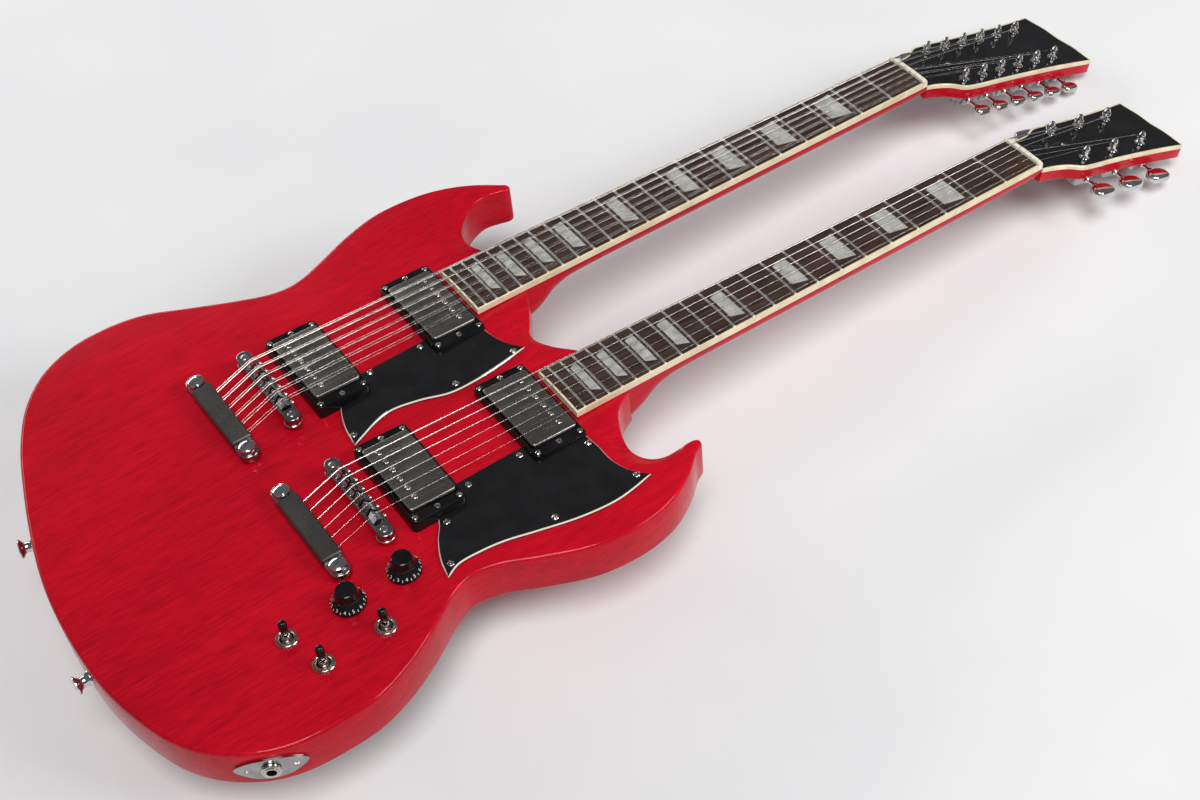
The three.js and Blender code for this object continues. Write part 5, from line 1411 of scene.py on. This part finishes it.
for tag, neck in NECKS.items():
    face, metal = neck["face"], {"kind": "chrome_parts"}
    for label, sign in BANKS:
        spots = [(*post_spot(neck, sign, i), 0) for i in range(neck["count"])]
        set_of(f"posts_{tag}_{label}", [post_shape(neck)], spots, CHROME, face,
               stands_for=[f"tuners_{tag}_{label}"], **metal)
        set_of(f"housings_{tag}_{label}", housing_shape(neck), spots, CHROME_PAINTED_SHADE, face, **metal)
        line = sign * neck["offset"]
        rail = block(spots[0][0], spots[-1][0], line - 5, line + 5, -14.2, -13.3)
        piece(f"tuner_strip_{tag}_{label}", joined([rail]), CHROME, face, **metal)
print("posts ready")

# %% Shape of a key
def squarish(value, power=0.85):
    return math.copysign(abs(value) ** power, value)

def key_shape(neck):
    long, wide, thick = neck["key"]
    reach = neck["reach"] - neck["offset"]
    oval = []
    for k in range(40):
        c, s = math.cos(FULL_TURN * k / 40), math.sin(FULL_TURN * k / 40)
        waist = 1 - 0.16 * max(0, s) ** 4
        oval.append(Vector((long / 2 * squarish(c), wide / 2 * squarish(s) * waist)))
    rim = thick * 0.42
    cap = placed(softened(oval, -thick / 2, thick / 2, rim, rim, 6), moved(0, 0, reach) @ turn(90, "X"))
    inner = reach - wide / 2
    stem = turned(
        [
            (0, -3.25), (1.4, -3.25), (1.4, 6.8), (2.6, 6.8), (2.7, 7.6), (2, 8.3), (1.4, 8.8),
            (1.4, inner - 2.6), (2.2, inner - 2.2), (2.5, inner - 1.2), (2.2, inner - 0.2),
            (2.6, inner + 0.8), (1.8, reach), (0, reach)],
        20)
    return joined([cap, stem])

print("key faces:", len(key_shape(TWELVE).polygons))

# %% Keys and truss covers
WORM_DEEP, WORM_AHEAD = 19.05, 6
TRUSS_BELL = ((1.2, -11.6), (5, -11.8), (12, -11), (20, -8.6), (28, -6), (38, -4.6), (46, -4.4), (50, -3.6),
              (52.4, -1.6), (53, 0))

for tag, neck in NECKS.items():
    for label, sign in BANKS:
        axes = Matrix(((1, 0, 0), (0, 0, -sign), (0, sign, 0))).transposed().to_4x4()
        for i in range(neck["count"]):
            spot = post_spot(neck, sign, i)
            place = neck["face"] @ moved(spot.x + WORM_AHEAD, spot.y, -WORM_DEEP) @ axes
            node = f"key_{tag}_{label}_{i + 1}"
            piece(f"cap_of_{node}", key_shape(neck), CHROME, place, node, [node], "chrome_parts", angle=50)
    outline = mirrored(smooth([Vector(p) for p in TRUSS_BELL], 5))
    cover = joined([softened(outline, 0, 1.3, 0, 0.45, 3)])
    piece(f"truss_cover_{tag}", cover, BLACK, neck["face"], kind="black_plastic")
    set_of(
        f"truss_screws_{tag}", [screw_shape(1.9, 0.6)], [(46.5, 0, 1.35), (4.5, 0, 1.35)], NICKEL,
        neck["face"], 1.5, kind="chrome_parts")
print("keys ready")

# %% Nuts
NUT_TOP = 2.6

def nut_bar(neck):
    """A bar whose rounded top follows the board's crown, with one fine slot for each string."""
    half, rows, steps = neck["nut"] / 2, [], 24
    for k in range(steps + 1):
        y = half * (2 * k / steps - 1)
        top, low = NUT_TOP + crown(y) - (0.6 if k in (0, steps) else 0), -BOARD_THICK
        side = [
            (0.3, low), (0.3, top - 1.2), (0.7, top - 0.4), (1.6, top), (3.2, top - 0.1),
            (4.4, top - 0.6), (5, top - 1.6), (5, low)]
        rows.append([Vector((BOARD + x, y, z)) for x, z in side])
    slots = []
    for string in string_list(neck):
        y = string["at_nut"]
        outline = bar_outline(BOARD - 1, BOARD + 7, string["wire"] / 2 + 0.12, y)
        slots.append(prism(outline, NUT_LIFT + crown(y) - 0.05, 6))
    return carved(joined([stack(rows)]), slots)

for tag, neck in NECKS.items():
    bar = nut_bar(neck)
    piece(f"nut_bar_{tag}", bar, IVORY, neck["plane"], stands_for=[f"nut_{tag}"], kind="ivory_nut", angle=45)
print("nuts ready")

# %% Kept solids and the back
KEPT = {"control_cover": SATIN, "pot_1": NICKEL, "pot_2": NICKEL}
COVER_SCREWS = ((-127, -121), (-127, -179), (-27, -179), (8, -151), (8, -121))
for name, material in KEPT.items():
    for slot in bpy.data.objects[name].material_slots:
        slot.material = material
under = moved(0, 0, 0.25) @ turn(180, "X")
spots = [(x, -y, 0) for x, y in COVER_SCREWS]
set_of("cover_screws", [screw_shape(2.6, 0.2)], spots, NICKEL, under, 1.5, kind="chrome_parts")
print("back ready")

# %% [markdown]
# ## Size of the frame
# The box of the frame is printed at the end. The outline of the body is held
# inside it.

# %% Size of the frame
print("frame box", [round(x, 4) for corner in cad_box for x in corner])
